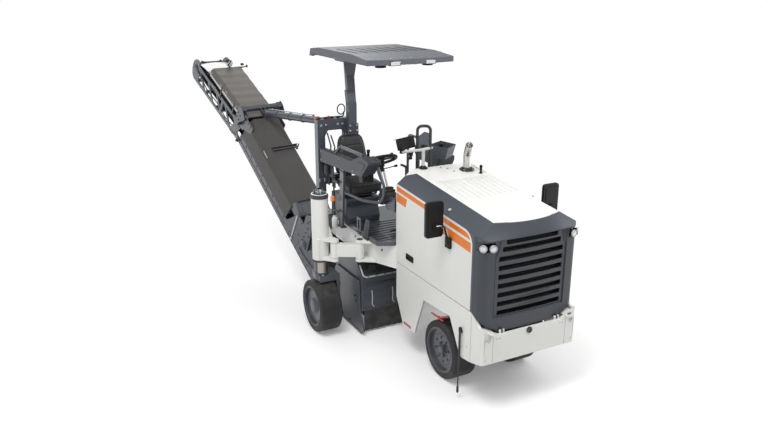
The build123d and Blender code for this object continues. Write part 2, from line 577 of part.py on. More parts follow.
def head_lamps(nose):
    """Pair of round lamps on a bracket in each corner recess of the nose."""
    pairs = []
    for side in (-1, 1):
        bracket = lamp_pocket(side, 0) & block(HOOD_LENGTH + 60, HOOD_LENGTH + 124, *sorted((side * 395, side * 500)),
                                               LAMP_Z - 20, LAMP_Z + 6)
        for x, y, turn in LAMPS:
            place = Pos(HOOD_LENGTH + x, side * y, LAMP_Z) * Rot(0, 0, side * turn) * Rot(0, 90, 0)
            bracket += place * Cylinder(LAMP_R, 42)
        bracket -= nose
        pairs.append(max(bracket.solids(), key=lambda solid: solid.volume))
    return pairs


def mirrors():
    """A mirror head on a bent tube arm at each side of the hood."""
    heads = []
    for side in (-1, 1):
        x, y, z = MIRROR_PLACE
        half_y, half_z = MIRROR_HALF
        head = block(x - 15, x + 17, *sorted((side * (y - half_y), side * (y + half_y))), z - half_z, z + half_z)
        head = fillet(head.edges().filter_by(Axis.X), MIRROR_CORNER)
        foot_x, foot_z = MIRROR_FOOT
        foot = block(foot_x - 36, foot_x + 36, *sorted((side * HOOD_HALF, side * (HOOD_HALF + 24))), foot_z - 50,
                     foot_z + 50)
        arm = pipe([(foot_x, side * (HOOD_HALF + 14), foot_z), (foot_x, side * (HOOD_HALF + 60), z - 60),
                    (foot_x, side * y, z - 60), (x + 12, side * y, z - 60)], MIRROR_ARM_R, MIRROR_ARM_BEND)
        heads.append(solid_of(head + foot + arm))
    return heads


def engine_cowl():
    """Fixed bulkhead behind the hood and the roof plate that carries the exhaust."""
    wall = prism_x([(-500, DECK_Z[1]), (-500, 1718), (-340, 1838), (340, 1838), (500, 1718), (500, DECK_Z[1])],
                   -30, -6)
    slope = (HOOD_REAR[3] - HOOD_FRONT[3]) / HOOD_LENGTH
    roof = prism_y([(-30, 1850), (COWL_LENGTH, 1850 - slope * (COWL_LENGTH + 30)),
                    (COWL_LENGTH, 1826 - slope * (COWL_LENGTH + 30)), (-30, 1826)], -COWL_HALF, COWL_HALF)
    web = block(-8, 60, -COWL_HALF + 20, -COWL_HALF + 40, 1700, 1830)
    return wall + roof + web + mirrored(web)


def exhaust_pipe():
    """Bent tail pipe on its flange, which lies on the sloping roof plate."""
    x, y = EXHAUST
    slope = (HOOD_REAR[3] - HOOD_FRONT[3]) / HOOD_LENGTH
    z = 1850 - slope * (x + 30) + SEAT_CLEAR
    outer = pipe([(x, y, z + 6), (x, y, z + 155), (x + 120, y - 60, z + 280)], 38, 95)
    inner_tip = bar((x + 60, y - 30, z + 217), (x + 140, y - 70, z + 301), 32)
    flange = Pos(x, y, z) * Rot(0, degrees(atan(slope)), 0) * extrude(RegularPolygon(56, 8), amount=14)
    return outer + flange - inner_tip


# ---------------------------------------------------------------- lifting columns, legs and the swing arm
def column_tube(x, y):
    """Outer tube of a lifting column with its cap."""
    tube = Pos(x, y, (COLUMN_Z[0] + COLUMN_Z[1]) / 2) * Cylinder(COLUMN_R, COLUMN_Z[1] - COLUMN_Z[0])
    cap = Pos(x, y, COLUMN_Z[1] + COLUMN_CAP / 2) * Cylinder(COLUMN_R - 3, COLUMN_CAP)
    fitting = Pos(x, y, COLUMN_Z[1] + COLUMN_CAP + 24) * Cylinder(30, 48)
    bore = Pos(x, y, (COLUMN_Z[0] + COLUMN_Z[1]) / 2 - 10) * Cylinder(LEG_R + SEAT_CLEAR,
                                                                    COLUMN_Z[1] - COLUMN_Z[0] - 20)
    return tube + cap + fitting, bore


def column_left():
    """Left column, bolted to the deck's edge."""
    tube, bore = column_tube(REAR_AXLE_X, REAR_LEFT_Y)
    bracket = block(REAR_AXLE_X - 95, REAR_AXLE_X + 95, DECK_LEFT_Y, REAR_LEFT_Y, DECK_Z[0] + 10, DECK_Z[1] - 10)
    return tube + bracket - bore


def column_right():
    """Right column with the two lugs that hang it on the swing arm's outer barrel."""
    tube, bore = column_tube(REAR_AXLE_X, REAR_RIGHT_Y)
    qx, qy = SWING_Q
    back_x = REAR_AXLE_X + 20
    for z0, z1 in ((BARREL_Z[1] + MOVE_CLEAR, COLUMN_LUG_Z), (DECK_Z[0] - 6, BARREL_Z[0] - MOVE_CLEAR)):
        tube += prism_z([(back_x, REAR_RIGHT_Y - 80), (qx + 10, qy - BARREL_R + 4), (qx - 10, qy + BARREL_R - 4),
                         (back_x - 30, REAR_RIGHT_Y + 84)], z0, z1)
        tube += Pos(qx, qy, (z0 + z1) / 2) * Cylinder(BARREL_R - 2, z1 - z0)
    web = prism_z([(back_x, REAR_RIGHT_Y - 80), (REAR_AXLE_X + 92, REAR_RIGHT_Y - 62),
                   (REAR_AXLE_X + 80, REAR_RIGHT_Y + 50), (back_x - 30, REAR_RIGHT_Y + 84)], DECK_Z[0], COLUMN_LUG_Z)
    pin = Pos(qx, qy, (DECK_Z[0] + COLUMN_LUG_Z) / 2) * Cylinder(SWING_PIN_R, COLUMN_LUG_Z - DECK_Z[0])
    return tube + web + pin - bore


def swing_arm():
    """Short boxed arm between the frame's pivot and the column bracket's pivot."""
    px, py = SWING_P
    qx, qy = SWING_Q
    length = hypot(qx - px, qy - py)
    side_x = -(qy - py) / length * 38
    side_y = (qx - px) / length * 38
    z0, z1 = BARREL_Z
    arm = prism_z([(px + side_x, py + side_y), (qx + side_x, qy + side_y),
                   (qx - side_x, qy - side_y), (px - side_x, py - side_y)], z0 + 12, z1 - 12)
    for x, y in (SWING_P, SWING_Q):
        arm += Pos(x, y, (z0 + z1) / 2) * Cylinder(BARREL_R, z1 - z0)
    for x, y in (SWING_P, SWING_Q):
        arm -= Pos(x, y, (z0 + z1) / 2) * Cylinder(SWING_PIN_R + PIN_CLEAR, z1 - z0 + 4)
    return arm


def leg(y, inboard):
    """Sliding leg: the round ram, the crown over the tyre, the fork plate on the inboard side and the stub axle."""
    x = REAR_AXLE_X
    face = y + inboard * (TYRE_W / 2 + FORK_GAP)
    back = face + inboard * FORK_PLATE
    ram = Pos(x, y, (CROWN_Z[0] + LEG_TOP_Z) / 2) * Cylinder(LEG_R, LEG_TOP_Z - CROWN_Z[0])
    crown = block(x - 105, x + 105, *sorted((y - inboard * 60, back)), *CROWN_Z)
    plate = prism_y([(x - 105, CROWN_Z[1]), (x - 118, TYRE_R + 185), (x - 96, TYRE_R), (x - 60, TYRE_R - 85),
                     (x + 60, TYRE_R - 85), (x + 96, TYRE_R), (x + 118, TYRE_R + 185), (x + 105, CROWN_Z[1])],
                    *sorted((face, back)))
    hub = bar((x, face, TYRE_R), (x, back + inboard * 12, TYRE_R), 96)
    return ram + crown + plate + hub + stub_axle(x, y, -inboard, back)


# ---------------------------------------------------------------- milling gear
def drum_housing():
    """Box over the drum: front and rear walls, end plates, roof and the belt drive's case on the left."""
    x0, x1 = HOUSING_X
    y0, y1 = HOUSING_Y
    z0, z1 = HOUSING_Z
    t = HOUSING_PLATE
    end = [(x0, 360), (x0, z1), (x1 - 130, z1), (x1, z1 - 150), (x1, z0 + 110), (x1 - 60, z0), (x0 + 180, z0)]
    right = prism_y(end, y0, y0 + t)
    left = prism_y(end, y1 - t, y1)
    roof = block(x0, x1 - 130, y0 + t, y1 - t, z1 - t, z1)
    slope = prism_y([(x1 - 130, z1), (x1, z1 - 150), (x1, z1 - 150 - t * 1.4), (x1 - 130, z1 - t * 1.4)], y0 + t, y1 - t)
    front = block(x1 - t, x1, y0 + t, y1 - t, z0 + 110, z1 - 150)
    rear = block(x0, x0 + t, y0 + t, y1 - t, 560, z1)
    housing = right + left + roof + slope + front + rear
    housing += block(-900, -440, y1, y1 + 330, CASE_LOW_Z, z1)
    for y, side in ((y0, -1), (y1, 1)):
        for x in (-880.0, -500.0):
            pad_y = sorted((y, y + side * PROTECTOR_PAD))
            housing += block(x, x + 60, pad_y[0], pad_y[1], 260, 440)
    # carrying posts up to the deck
    housing += block(-960, -900, y0 + t, y1 + 300, z1 - 2, DECK_Z[0])
    housing += block(-560, -500, y0 + t, y1 + 300, z1 - 2, DECK_Z[0])
    bore = bar((DRUM_X, y1 - t - 2, DRUM_Z), (DRUM_X, y1 + 2, DRUM_Z), 60 + PIN_CLEAR)
    bore += bar((DRUM_X, y0 - 2, DRUM_Z), (DRUM_X, y0 + t + 2, DRUM_Z), 60 + PIN_CLEAR)
    return housing - bore


def milling_drum():
    """Drum body with its shaft ends and a helix of pick blocks, each with a pick tip."""
    y0, y1 = DRUM_Y
    drum = bar((DRUM_X, y0, DRUM_Z), (DRUM_X, y1, DRUM_Z), DRUM_BODY_R)
    drum -= bar((DRUM_X, y0 - 2, DRUM_Z), (DRUM_X, y0 + 60, DRUM_Z), DRUM_BODY_R - 22)
    drum += bar((DRUM_X, HOUSING_Y[0] + 1, DRUM_Z), (DRUM_X, HOUSING_Y[1] - 1, DRUM_Z), 60)
    rows = 22
    blocks = []
    for n in range(rows):
        y = y0 + 26 + (y1 - y0 - 52) * n / (rows - 1)
        for start in range(3):
            turn = 16.4 * n + 120.0 * start
            tooth = Pos(DRUM_BODY_R + 14, 0, 0) * Box(48, 38, 62)
            tooth += Pos(DRUM_BODY_R + 44, 0, 8) * Rot(0, 40, 0) * Cylinder(11, 42)
            blocks.append(Pos(DRUM_X, y, DRUM_Z) * Rot(0, turn, 0) * tooth)
    return drum.fuse(*blocks)


def edge_protector(side_y, side):
    """Sliding side plate with a turned-up toe."""
    y0 = side_y + side * (PROTECTOR_PAD + SEAT_CLEAR)
    top = 600.0 if side < 0 else 430.0
    low = PROTECTOR_BOTTOM_Z
    outline = [(HOUSING_X[0] + 10, low + 60), (HOUSING_X[0] + 70, low), (PROTECTOR_TOE_X - 60, low),
               (PROTECTOR_TOE_X, low + 46), (PROTECTOR_TOE_X - 26, low + 130), (HOUSING_X[1] - 4, low + 230),
               (HOUSING_X[1] - 30, top), (HOUSING_X[0] + 60, top), (HOUSING_X[0] + 10, top - 60)]
    return prism_y(outline, *sorted((y0, y0 + side * PROTECTOR_PLATE)))


def front_flap():
    """Rubber curtain on the front wall of the housing."""
    return block(HOUSING_X[1] + SEAT_CLEAR, HOUSING_X[1] + 12, DRUM_Y[0] + 6, DRUM_Y[1] - 6, 22, 380)


def scraper_door():
    """Sliding rear door behind the drum with its wear blade."""
    x1 = HOUSING_X[0] - SEAT_CLEAR
    door = block(x1 - 18, x1, DRUM_Y[0], DRUM_Y[1], 60, 620)
    door += block(x1 - 34, x1 - 18, DRUM_Y[0], DRUM_Y[1], 20, 100)
    for y in (DRUM_Y[0] + 110, DRUM_Y[1] - 150):
        door += block(x1 - 58, x1 - 18, y, y + 40, 100, 560)
    return door


# ---------------------------------------------------------------- operator's place
def platform():
    """Tread floor with raised ribs, its edge plate and the slotted foothold on the right."""
    z0 = DECK_Z[1]
    z1 = z0 + FLOOR_THICK
    left = DECK_LEFT_Y - 8
    floor = prism_z([(-1200, FLOOR_RIGHT_Y), (FLOOR_CORNER[0], FLOOR_RIGHT_Y), (FLOOR_FRONT_X, FLOOR_CORNER[1]),
                     (FLOOR_FRONT_X, left), (-1200, left)], z0, z1)
    for n in range(9):
        x = -690 + 68 * n
        floor += block(x, x + 22, FLOOR_RIGHT_Y + 12, DECK_LEFT_Y - 20, z1, z1 + 6)
    y = FLOOR_RIGHT_Y
    foothold = block(-560, -470, y - 10, y + 2, z0, z0 + 190) - block(-535, -495, y - 20, y + 10, z0 + 60, z0 + 165)
    return floor + foothold


def seat_pedestal():
    """Box that carries the seat."""
    z0 = DECK_Z[1] + FLOOR_THICK
    base = prism_y([(-1190, z0), (-745, z0), (-800, 1300), (-760, 1380), (-1180, 1380)], SEAT_Y - 150, SEAT_Y + 170)
    plinth = block(-1120, -800, SEAT_Y - 130, SEAT_Y + 130, 1380, CUSHION_Z[0] - SEAT_CLEAR)
    return base + plinth


def seat():
    """Seat with cushion, backrest and armrests as one closed soft body."""
    x0, x1 = SEAT_X
    low, high = CUSHION_Z
    cushion = block(x0, x1, SEAT_Y - SEAT_HALF, SEAT_Y + SEAT_HALF, low, high)
    back = prism_y([(x0, low + 20), (x0 + 120, high), (x0 + 60, BACK_TOP_Z), (x0 - 30, BACK_TOP_Z),
                    (x0 - 40, high)], SEAT_Y - SEAT_HALF + 10, SEAT_Y + SEAT_HALF - 10)
    return cushion + back


def console(y0, y1, x0, x1, z0, z1, drop):
    """Operating console: a box whose top slopes down to the front."""
    return prism_y([(x0, z0 + 60), (x0 + 60, z0), (x1 - 40, z0), (x1, z0 + 70), (x1, z1 - drop), (x0, z1)], y0, y1)


def console_right():
    """Right console with its top rail, on a bracket from the mast."""
    y0, y1 = -842.0, -738.0
    x1 = -640.0
    x0 = MAST_X[1]
    body = console(y0, y1, x0, x1, 1545, 1760, 95)
    body += pipe([(-1230, y0 + 16, 1730), (-1230, y0 + 16, 1850), (-720, y0 + 16, 1780), (-720, y0 + 16, 1640)], 9, 40)
    return body


def console_left():
    """Left console on its leg, with a joystick and a rest."""
    y0, y1 = 180.0, 372.0
    body = console(y0, y1, -860, -330, 1740, 1880, 30)
    body += block(-640, -560, 220, 330, DECK_Z[1] + FLOOR_THICK, 1760)
    body += bar((-430, 276, 1840), (-430, 276, 1930), 16)
    body += bar((-430, 276, 1930), (-425, 276, 1985), 24)
    return body


def column_axis():
    """Unit vector up the steering column."""
    return Vector(-sin(radians(WHEEL_TILT)), 0, cos(radians(WHEEL_TILT)))


def steering_pedestal():
    """Twin-rod steering column on its foot."""
    top = Vector(*WHEEL_CENTRE) - column_axis() * 26
    foot = block(-300, -120, SEAT_Y - 70, SEAT_Y + 70, DECK_Z[1] + FLOOR_THICK, 1180)
    box = prism_y([(-290, 1180), (-140, 1180), (-120, 1560), (-200, 1660), (-262, 1600)], SEAT_Y - 52, SEAT_Y + 52)
    base = top - column_axis() * 300
    pedestal = foot + box
    for dy in (-16, 16):
        start = base + Vector(0, dy, 0)
        end = top + Vector(0, dy, 0)
        pedestal += bar((start.X, start.Y, start.Z), (end.X, end.Y, end.Z), 12)
    collar_start = top - column_axis() * 40
    return pedestal + bar((collar_start.X, collar_start.Y, collar_start.Z), (top.X, top.Y, top.Z), 38)


def steering_wheel():
    """Steering wheel: ring, three spokes and hub, seated on the column's collar."""
    tilt = Pos(*WHEEL_CENTRE) * Rot(0, -WHEEL_TILT, 0)
    wheel = Torus(WHEEL_RING_R, WHEEL_TUBE_R)
    wheel += Pos(0, 0, -26 + SEAT_CLEAR + 22) * Cylinder(44, 44)
    for n in range(3):
        wheel += Rot(0, 0, 120 * n + 180) * Pos(WHEEL_RING_R / 2, 0, 0) * Box(WHEEL_RING_R, 26, 14)
    wheel += Pos(-0, WHEEL_RING_R - 20, 34) * Cylinder(17, 60)
    return tilt * wheel


def display_unit():
    """Display on its arm and post behind the hood."""
    z0 = DECK_Z[1] + FLOOR_THICK
    post = bar((-70, -60, z0), (-70, -60, 1985), 22)
    arm = pipe([(-70, -60, 1975), (-200, -90, 1985), (-330, -210, 1985)], 16, 60)
    screen = Pos(-360, -225, 2020) * Rot(0, -18, 20) * Box(60, 210, 150)
    return post + arm + screen


def guard_rail():
    """Bent grab rails at the right edge of the floor and in front of the left console, and a guard plate."""
    z0 = DECK_Z[1] + FLOOR_THICK
    right = pipe([(-1180, -656, z0 + 260), (-620, -656, z0 + 160), (-480, -656, z0 + 250), (-480, -656, z0 + 560)],
                 14, 60)
    leg_a = bar((-1180, -656, z0), (-1180, -656, z0 + 262), 14)
    leg_b = bar((-620, -656, z0), (-620, -656, z0 + 160), 14)
    front = pipe([(-120, 40, z0), (-120, 40, 2150), (-120, 230, 2150), (-120, 230, z0)], 17, 50)
    plate = block(-126, -114, 40, 150, 1600, 2050)
    return right + leg_a + leg_b, front + plate


def access_steps():
    """Two steps and a grab rail at the rear left of the deck."""
    steps = None
    for z in (420, 740):
        tread = block(DECK_REAR_X - 230, DECK_REAR_X, 90, 380, z, z + 26)
        steps = tread if steps is None else steps + tread
    for y in (90, 368):
        steps += block(DECK_REAR_X - 60, DECK_REAR_X, y, y + 12, 400, DECK_Z[1])
    rail = pipe([(DECK_REAR_X - 24, 374, DECK_Z[1] - 60), (DECK_REAR_X - 24, 374, 1900),
                 (DECK_REAR_X + 230, 374, 1900), (DECK_REAR_X + 230, 374, DECK_Z[1] + FLOOR_THICK)], 16, 80)
    return steps + rail


def mast_portal():
    """Two posts, the top beam and the anchor plates of the conveyor's lift cylinder."""
    x0, x1 = MAST_X
    mast = None
    for y0, y1 in MAST_POSTS:
        post = block(x0, x1, y0, y1, DECK_Z[1], MAST_TOP_Z)
        mast = post if mast is None else mast + post
    outer, inner = MAST_POSTS
    mast += block(x0, x1, outer[0], inner[1], MAST_TOP_Z - 125, MAST_TOP_Z)
    mast += block(x0, x1, outer[0], inner[1], 1440, 1540)
    mast += block(x0 - 20, x1 + 60, outer[0], DECK_RIGHT_Y + 30, DECK_Z[1], DECK_Z[1] + 30)
    for z0 in (LIFT_EYE_Z - CLEVIS_GAP / 2 - CLEVIS_PLATE, LIFT_EYE_Z + CLEVIS_GAP / 2):
        mast += block(SLEW_X, x0, SLEW_Y - CLEVIS_R, SLEW_Y + CLEVIS_R, z0, z0 + CLEVIS_PLATE)
        mast += Pos(SLEW_X, SLEW_Y, z0 + CLEVIS_PLATE / 2) * Cylinder(CLEVIS_R, CLEVIS_PLATE)
    mast += Pos(SLEW_X, SLEW_Y, LIFT_EYE_Z) * Cylinder(LIFT_PIN_R, CLEVIS_GAP + 2 * CLEVIS_PLATE)
    return mast


def canopy_mast():
    """Canopy column: wide foot on the mast's inner post, cranked up to the roof."""
    x = CANOPY_COLUMN_X
    y = CANOPY_COLUMN_Y
    low = prism_y([(MAST_X[1], 1900), (x + 70, 1900), (x + 70, 2330), (x + 20, 2480), (x - 40, 2480),
                   (MAST_X[1], 2330)], y - 60, y + 40)
    top = prism_y([(x - 40, 2470), (x + 20, 2470), (x - 30, CANOPY_TOP_Z - 40), (x - 100, CANOPY_TOP_Z - 40)],
                  y - 45, y + 35)
    under = CANOPY_TOP_Z - CANOPY_RIB - 32 - SEAT_CLEAR
    head = block(x - 190, x + 80, y - 110, y + 100, under - 20, under)
    return low + top + head


def canopy_roof():
    """Hollow roof tray: a slightly arched panel with lengthwise ribs, a deep rim and a bulged front edge."""
    x0, x1 = CANOPY_X
    y0, y1 = CANOPY_Y
    low = CANOPY_TOP_Z - CANOPY_RIM
    crown = CANOPY_TOP_Z - CANOPY_RIB
    tail, drop = CANOPY_TAIL
    outline = [(x0, low - drop), (x0 + 30, crown - 26), (x0 + 260, crown), (x1 - 420, crown), (x1 - 12, crown - 34),
               (x1, low), (x0 + tail + 12, low), (x0 + tail, low - drop)]
    roof = prism_y(outline, y0, y1)
    for n in range(8):
        y = y0 + 90 + 118 * n
        roof += prism_y([(x1 - 1000, crown - 2), (x1 - 970, CANOPY_TOP_Z), (x1 - 440, CANOPY_TOP_Z),
                         (x1 - 420, crown - 2)], y, y + 54)
    arc = ThreePointArc((x1 - CANOPY_ARCH, y0), (x1, (y0 + y1) / 2), (x1 - CANOPY_ARCH, y1))
    rest = Polyline((x1 - CANOPY_ARCH, y1), (x0, y1), (x0, y0), (x1 - CANOPY_ARCH, y0))
    roof = roof & (Pos(0, 0, low - 60) * extrude(make_face([arc, rest]), amount=200))
    inner = x1 - CANOPY_ARCH - 34
    roof -= block(x0 + 34, inner, y0 + 26, y1 - 26, low - 60, crown - 60)
    roof -= block(x0 + 34, x1 - 160, y0 + 26, y1 - 26, low - 60, crown - 32)
    return roof


# ---------------------------------------------------------------- conveyor
def conveyor_heading():
    """Level unit vector from the slewing axis towards the conveyor's head at rest."""
    turn = radians(SLEW_REST)
    return Vector(-cos(turn), -sin(turn), 0)


def conveyor_plane():
    """Axes of the conveyor: x along the belt, y to its right-hand side, z square to the belt."""
    heading = conveyor_heading()
    lift = radians(CONVEYOR_ELEVATION)
    pivot = Vector(SLEW_X, SLEW_Y, LUFF_Z) + heading * LUFF_BACK
    along = heading * cos(lift) + Vector(0, 0, sin(lift))
    normal = heading * -sin(lift) + Vector(0, 0, cos(lift))
    return Plane(origin=pivot, x_dir=along, z_dir=normal)


def slew_plane():
    """Axes of the slewing bracket: x along the heading, z up, at the slewing axis on the ground."""
    return Plane(origin=(SLEW_X, SLEW_Y, 0), x_dir=conveyor_heading(), z_dir=(0, 0, 1))


def slew_bracket():
    """Bracket that hangs the conveyor from the deck's rear pin."""
    z0, z1 = BARREL_Z
    inner = CONVEYOR_HALF + MOVE_CLEAR
    outer = inner + 26
    part = Pos(0, 0, (z0 + z1) / 2) * Cylinder(BARREL_R + 8, z1 - z0)
    part += block(20, 110, -outer, outer, z0 + 12, z1 - 12)
    plate = [(30, z1 - 12), (150, z1 - 12), (LUFF_BACK + 70, LUFF_Z + 90), (LUFF_BACK + 60, LUFF_Z - 60),
             (LUFF_BACK - 60, LUFF_Z - 70), (30, z0 + 12)]
    for side in (-1, 1):
        part += prism_y(plate, *sorted((side * inner, side * outer)))
        part += bar((LUFF_BACK, side * (CONVEYOR_HALF - CONVEYOR_PLATE - 20), LUFF_Z),
                    (LUFF_BACK, side * (outer + 12), LUFF_Z), 26)
    part -= Pos(0, 0, (z0 + z1) / 2) * Cylinder(SWING_PIN_R + PIN_CLEAR, z1 - z0 + 4)
    return slew_plane() * part


def upper_axes():
    """Place of the upper half in the lower half's axes: s along x, t along z, at the bend of the lower rails."""
    return Pos(FOLD_U, 0, RAIL_W) * Rot(0, CONVEYOR_BEND, 0)


def pulley_centres():
    """(u, w) of the belt's tail pulley, of its bend and of its head pulley."""
    turn = radians(CONVEYOR_BEND)
    ahead = BELT_RISE * sin(turn / 2) / cos(turn / 2)
    head_u = FOLD_U + HEAD_PULLEY_S * cos(turn) + BELT_RISE * sin(turn)
    head_w = RAIL_W - HEAD_PULLEY_S * sin(turn) + BELT_RISE * cos(turn)
    middle = RAIL_W + BELT_RISE
    return (TAIL_PULLEY_U, middle), (FOLD_U + ahead, middle), (head_u, head_w)


def conveyor_frame():
    """Side sheets and rails of the lower half, lattice of the upper half, pulleys, cross bars, fold plates, yoke."""
    y_in = CONVEYOR_HALF - CONVEYOR_PLATE
    low, high = SIDE_W
    tail = CONVEYOR_TAIL_U
    lower = None
    upper = None
    for side in (-1, 1):
        ys = sorted((side * y_in, side * CONVEYOR_HALF))
        sheet = prism_y([(tail + 60, RAIL_W), (FOLD_U, RAIL_W), (FOLD_U, low), (FOOT_U + 120, low), (FOOT_U, high),
                         (tail + 60, high), (tail, high - 60), (tail, RAIL_W + 60)], *ys)
        fold_y = sorted((side * (CONVEYOR_HALF - 1), side * (CONVEYOR_HALF + 12)))
        yoke_y = sorted((side * (CONVEYOR_HALF - 1), side * YOKE_HALF))
        sheet += prism_y(FOLD_PLATE, *fold_y)
        sheet += block(YOKE_U - 40, YOKE_U + 40, *yoke_y, -20, YOKE_W + 24)
        lower = sheet if lower is None else lower + sheet
        lower += bar((0, side * y_in, 0), (0, side * CONVEYOR_HALF, 0), 60)
        rails = block(-40, HEAD_PLATE[0][0] + 20, *ys, 0, RAIL_DEPTH)
        rails += block(-40, HEAD_PLATE[0][0] + 20, *ys, *UPPER_RAIL_T)
        bays = 5
        bay = HEAD_PLATE[0][0] / bays
        for n in range(bays):
            a = bay * n
            rails += prism_y([(a, 20), (a + 46, 20), (a + bay, UPPER_RAIL_T[1] - 20),
                              (a + bay - 46, UPPER_RAIL_T[1] - 20)], *ys)
        rails += prism_y(HEAD_PLATE, *ys)
        for s in LATTICE_POSTS_S:
            rails += block(s - 22, s + 22, *ys, 0, UPPER_RAIL_T[1])
        upper = rails if upper is None else upper + rails
    for s in LATTICE_POSTS_S:
        upper += block(s - 24, s + 24, -y_in - 1, y_in + 1, BELT_RISE - 24, BELT_RISE + 24)
    for s in (700.0, 1320.0):
        upper += block(s - 30, s + 30, -y_in - 1, y_in + 1, 0, 26)
    middle = RAIL_W + BELT_RISE
    for u in (200.0, 1000.0, 1700.0):
        lower += block(u - 24, u + 24, -y_in - 1, y_in + 1, middle - 24, middle + 24)
    for u in (-300.0, 600.0, 1790.0):
        lower += block(u - 30, u + 30, -y_in - 1, y_in + 1, RAIL_W, RAIL_W + 26)
    frame = lower + upper_axes() * upper
    tail_centre, bend, head_centre = pulley_centres()
    for u, w in (tail_centre, head_centre):
        frame += bar((u, -y_in - 1, w), (u, y_in + 1, w), 24)
        frame += bar((u, -BELT_HALF + 6, w), (u, BELT_HALF - 6, w), BELT_R - BELT_THICK - SEAT_CLEAR)
    frame += block(YOKE_U - 26, YOKE_U + 26, -YOKE_HALF, YOKE_HALF, YOKE_W - 24, YOKE_W + 24)
    for dv in (-28, 28):
        ear = block(YOKE_U - 100, YOKE_U - 20, dv - 6, dv + 6, YOKE_W - 24, YOKE_W + 24)
        frame += ear + bar((YOKE_U - 100, dv - 6, YOKE_W), (YOKE_U - 100, dv + 6, YOKE_W), 24)
    frame += bar((YOKE_U - 100, -34, YOKE_W), (YOKE_U - 100, 34, YOKE_W), 12)
    frame -= bar((0, -CONVEYOR_HALF - 4, 0), (0, -y_in + 4, 0), 26 + PIN_CLEAR)
    frame -= bar((0, y_in - 4, 0), (0, CONVEYOR_HALF + 4, 0), 26 + PIN_CLEAR)
    return conveyor_plane() * frame


def loop(radius, half):
    """Solid loop outline round both pulleys and over the bend."""
    tail_centre, bend, head_centre = pulley_centres()
    body = block(tail_centre[0], bend[0], -half, half, bend[1] - radius, bend[1] + radius)
    for u, w in (tail_centre, bend, head_centre):
        body += bar((u, -half, w), (u, half, w), radius)
    length = hypot(head_centre[0] - bend[0], head_centre[1] - bend[1])
    upper = block(0, length, -half, half, -radius, radius)
    return body + Pos(bend[0], 0, bend[1]) * Rot(0, CONVEYOR_BEND, 0) * upper


def conveyor_belt():
    """Endless belt as one fixed loop around the pulleys."""
    return conveyor_plane() * (loop(BELT_R, BELT_HALF) - loop(BELT_R - BELT_THICK, BELT_HALF + 2))


def cover(u0, u1, low, top, shoulder, rise):
    """Trough-shaped belt cover between two heights, open below and at both ends."""
    half = CONVEYOR_HALF - 2
    t = 9.0
    outer = prism_x([(-half, low), (-half, top - rise), (-half + shoulder, top), (half - shoulder, top),
                     (half, top - rise), (half, low)], u0, u1)
    inner = prism_x([(-half + t, low - 1), (-half + t, top - rise - t * 0.4), (-half + shoulder + t * 0.4, top - t),
                     (half - shoulder - t * 0.4, top - t), (half - t, top - rise - t * 0.4), (half - t, low - 1)],
                    u0 - 1, u1 + 1)
    return outer - inner


def conveyor_covers():
    """Covers of the lower and upper halves."""
    u0, u1, top = LOWER_COVER
    deep = block(u0 - 10, FOOT_U + 150, -CONVEYOR_HALF, CONVEYOR_HALF, SIDE_W[0] - 20, SIDE_W[1] + SEAT_CLEAR)
    lower = cover(u0, u1, SIDE_W[0] + SEAT_CLEAR, top, 62, 80) - deep
    s0, s1, height = UPPER_COVER
    upper = upper_axes() * cover(s0, s1, UPPER_RAIL_T[1] + SEAT_CLEAR, height, 44, 66)
    return conveyor_plane() * lower, conveyor_plane() * upper


def lift_line():
    """The lift cylinder's two eyes and the unit vector from the lower eye to the anchor on the mast."""
    lower = conveyor_plane().from_local_coords(Vector(YOKE_U - 100, 0, YOKE_W))
    anchor = Vector(SLEW_X, SLEW_Y, LIFT_EYE_Z)
    return lower, anchor, (anchor - lower).normalized()


def at(point, direction, distance):
    """A point along a line, as a plain tuple."""
    place = point + direction * distance
    return (place.X, place.Y, place.Z)


def lift_barrel():
    """Cylinder barrel with its eye on the yoke."""
    lower, anchor, line = lift_line()
    across = conveyor_plane().y_dir
    eye = bar(at(lower, across, -16), at(lower, across, 16), 30)
    barrel = eye + bar(at(lower, line, 0), at(lower, line, LIFT_BARREL), LIFT_BARREL_R)
    side_cut = bar(at(lower, across, 16), at(lower, across, 60), 60) + bar(at(lower, across, -60),
                                                                           at(lower, across, -16), 60)
    barrel -= side_cut
    barrel -= bar(at(lower, line, 80), at(lower, line, LIFT_BARREL + 2), LIFT_ROD_R + SEAT_CLEAR)
    return barrel - bar(at(lower, across, -20), at(lower, across, 20), LIFT_PIN_R + PIN_CLEAR)


def lift_rod():
    """Piston rod, its thin neck and the swivelling eye round the mast's anchor pin."""
    lower, anchor, line = lift_line()
    rod = bar(at(lower, line, LIFT_BARREL - LIFT_INSIDE), at(anchor, line, -LIFT_NECK), LIFT_ROD_R)
    rod += bar(at(anchor, line, -LIFT_NECK - 1), at(anchor, line, 0), LIFT_NECK_R)
    swivel = Pos(anchor.X, anchor.Y, anchor.Z)
    rod += swivel * Cylinder(LIFT_EYE_R, LIFT_EYE_THICK)
    return rod - swivel * Cylinder(LIFT_PIN_R + LIFT_SWIVEL, 2 * LIFT_EYE_R)


def pointer_rod():
    """Sighting rod hung from the right skirt beside the front wheel, with its weight."""
    y = -HOOD_HALF - 22
    x = FRONT_AXLE_X + 403
    arm = bar((x, -HOOD_HALF, 700), (x, y - 6, 700), 9)
    rod = bar((x, y, 706), (x, y, 60), 6)
    weight = bar((x, y, 60), (x, y, 120), 11)
    return arm + rod + weight


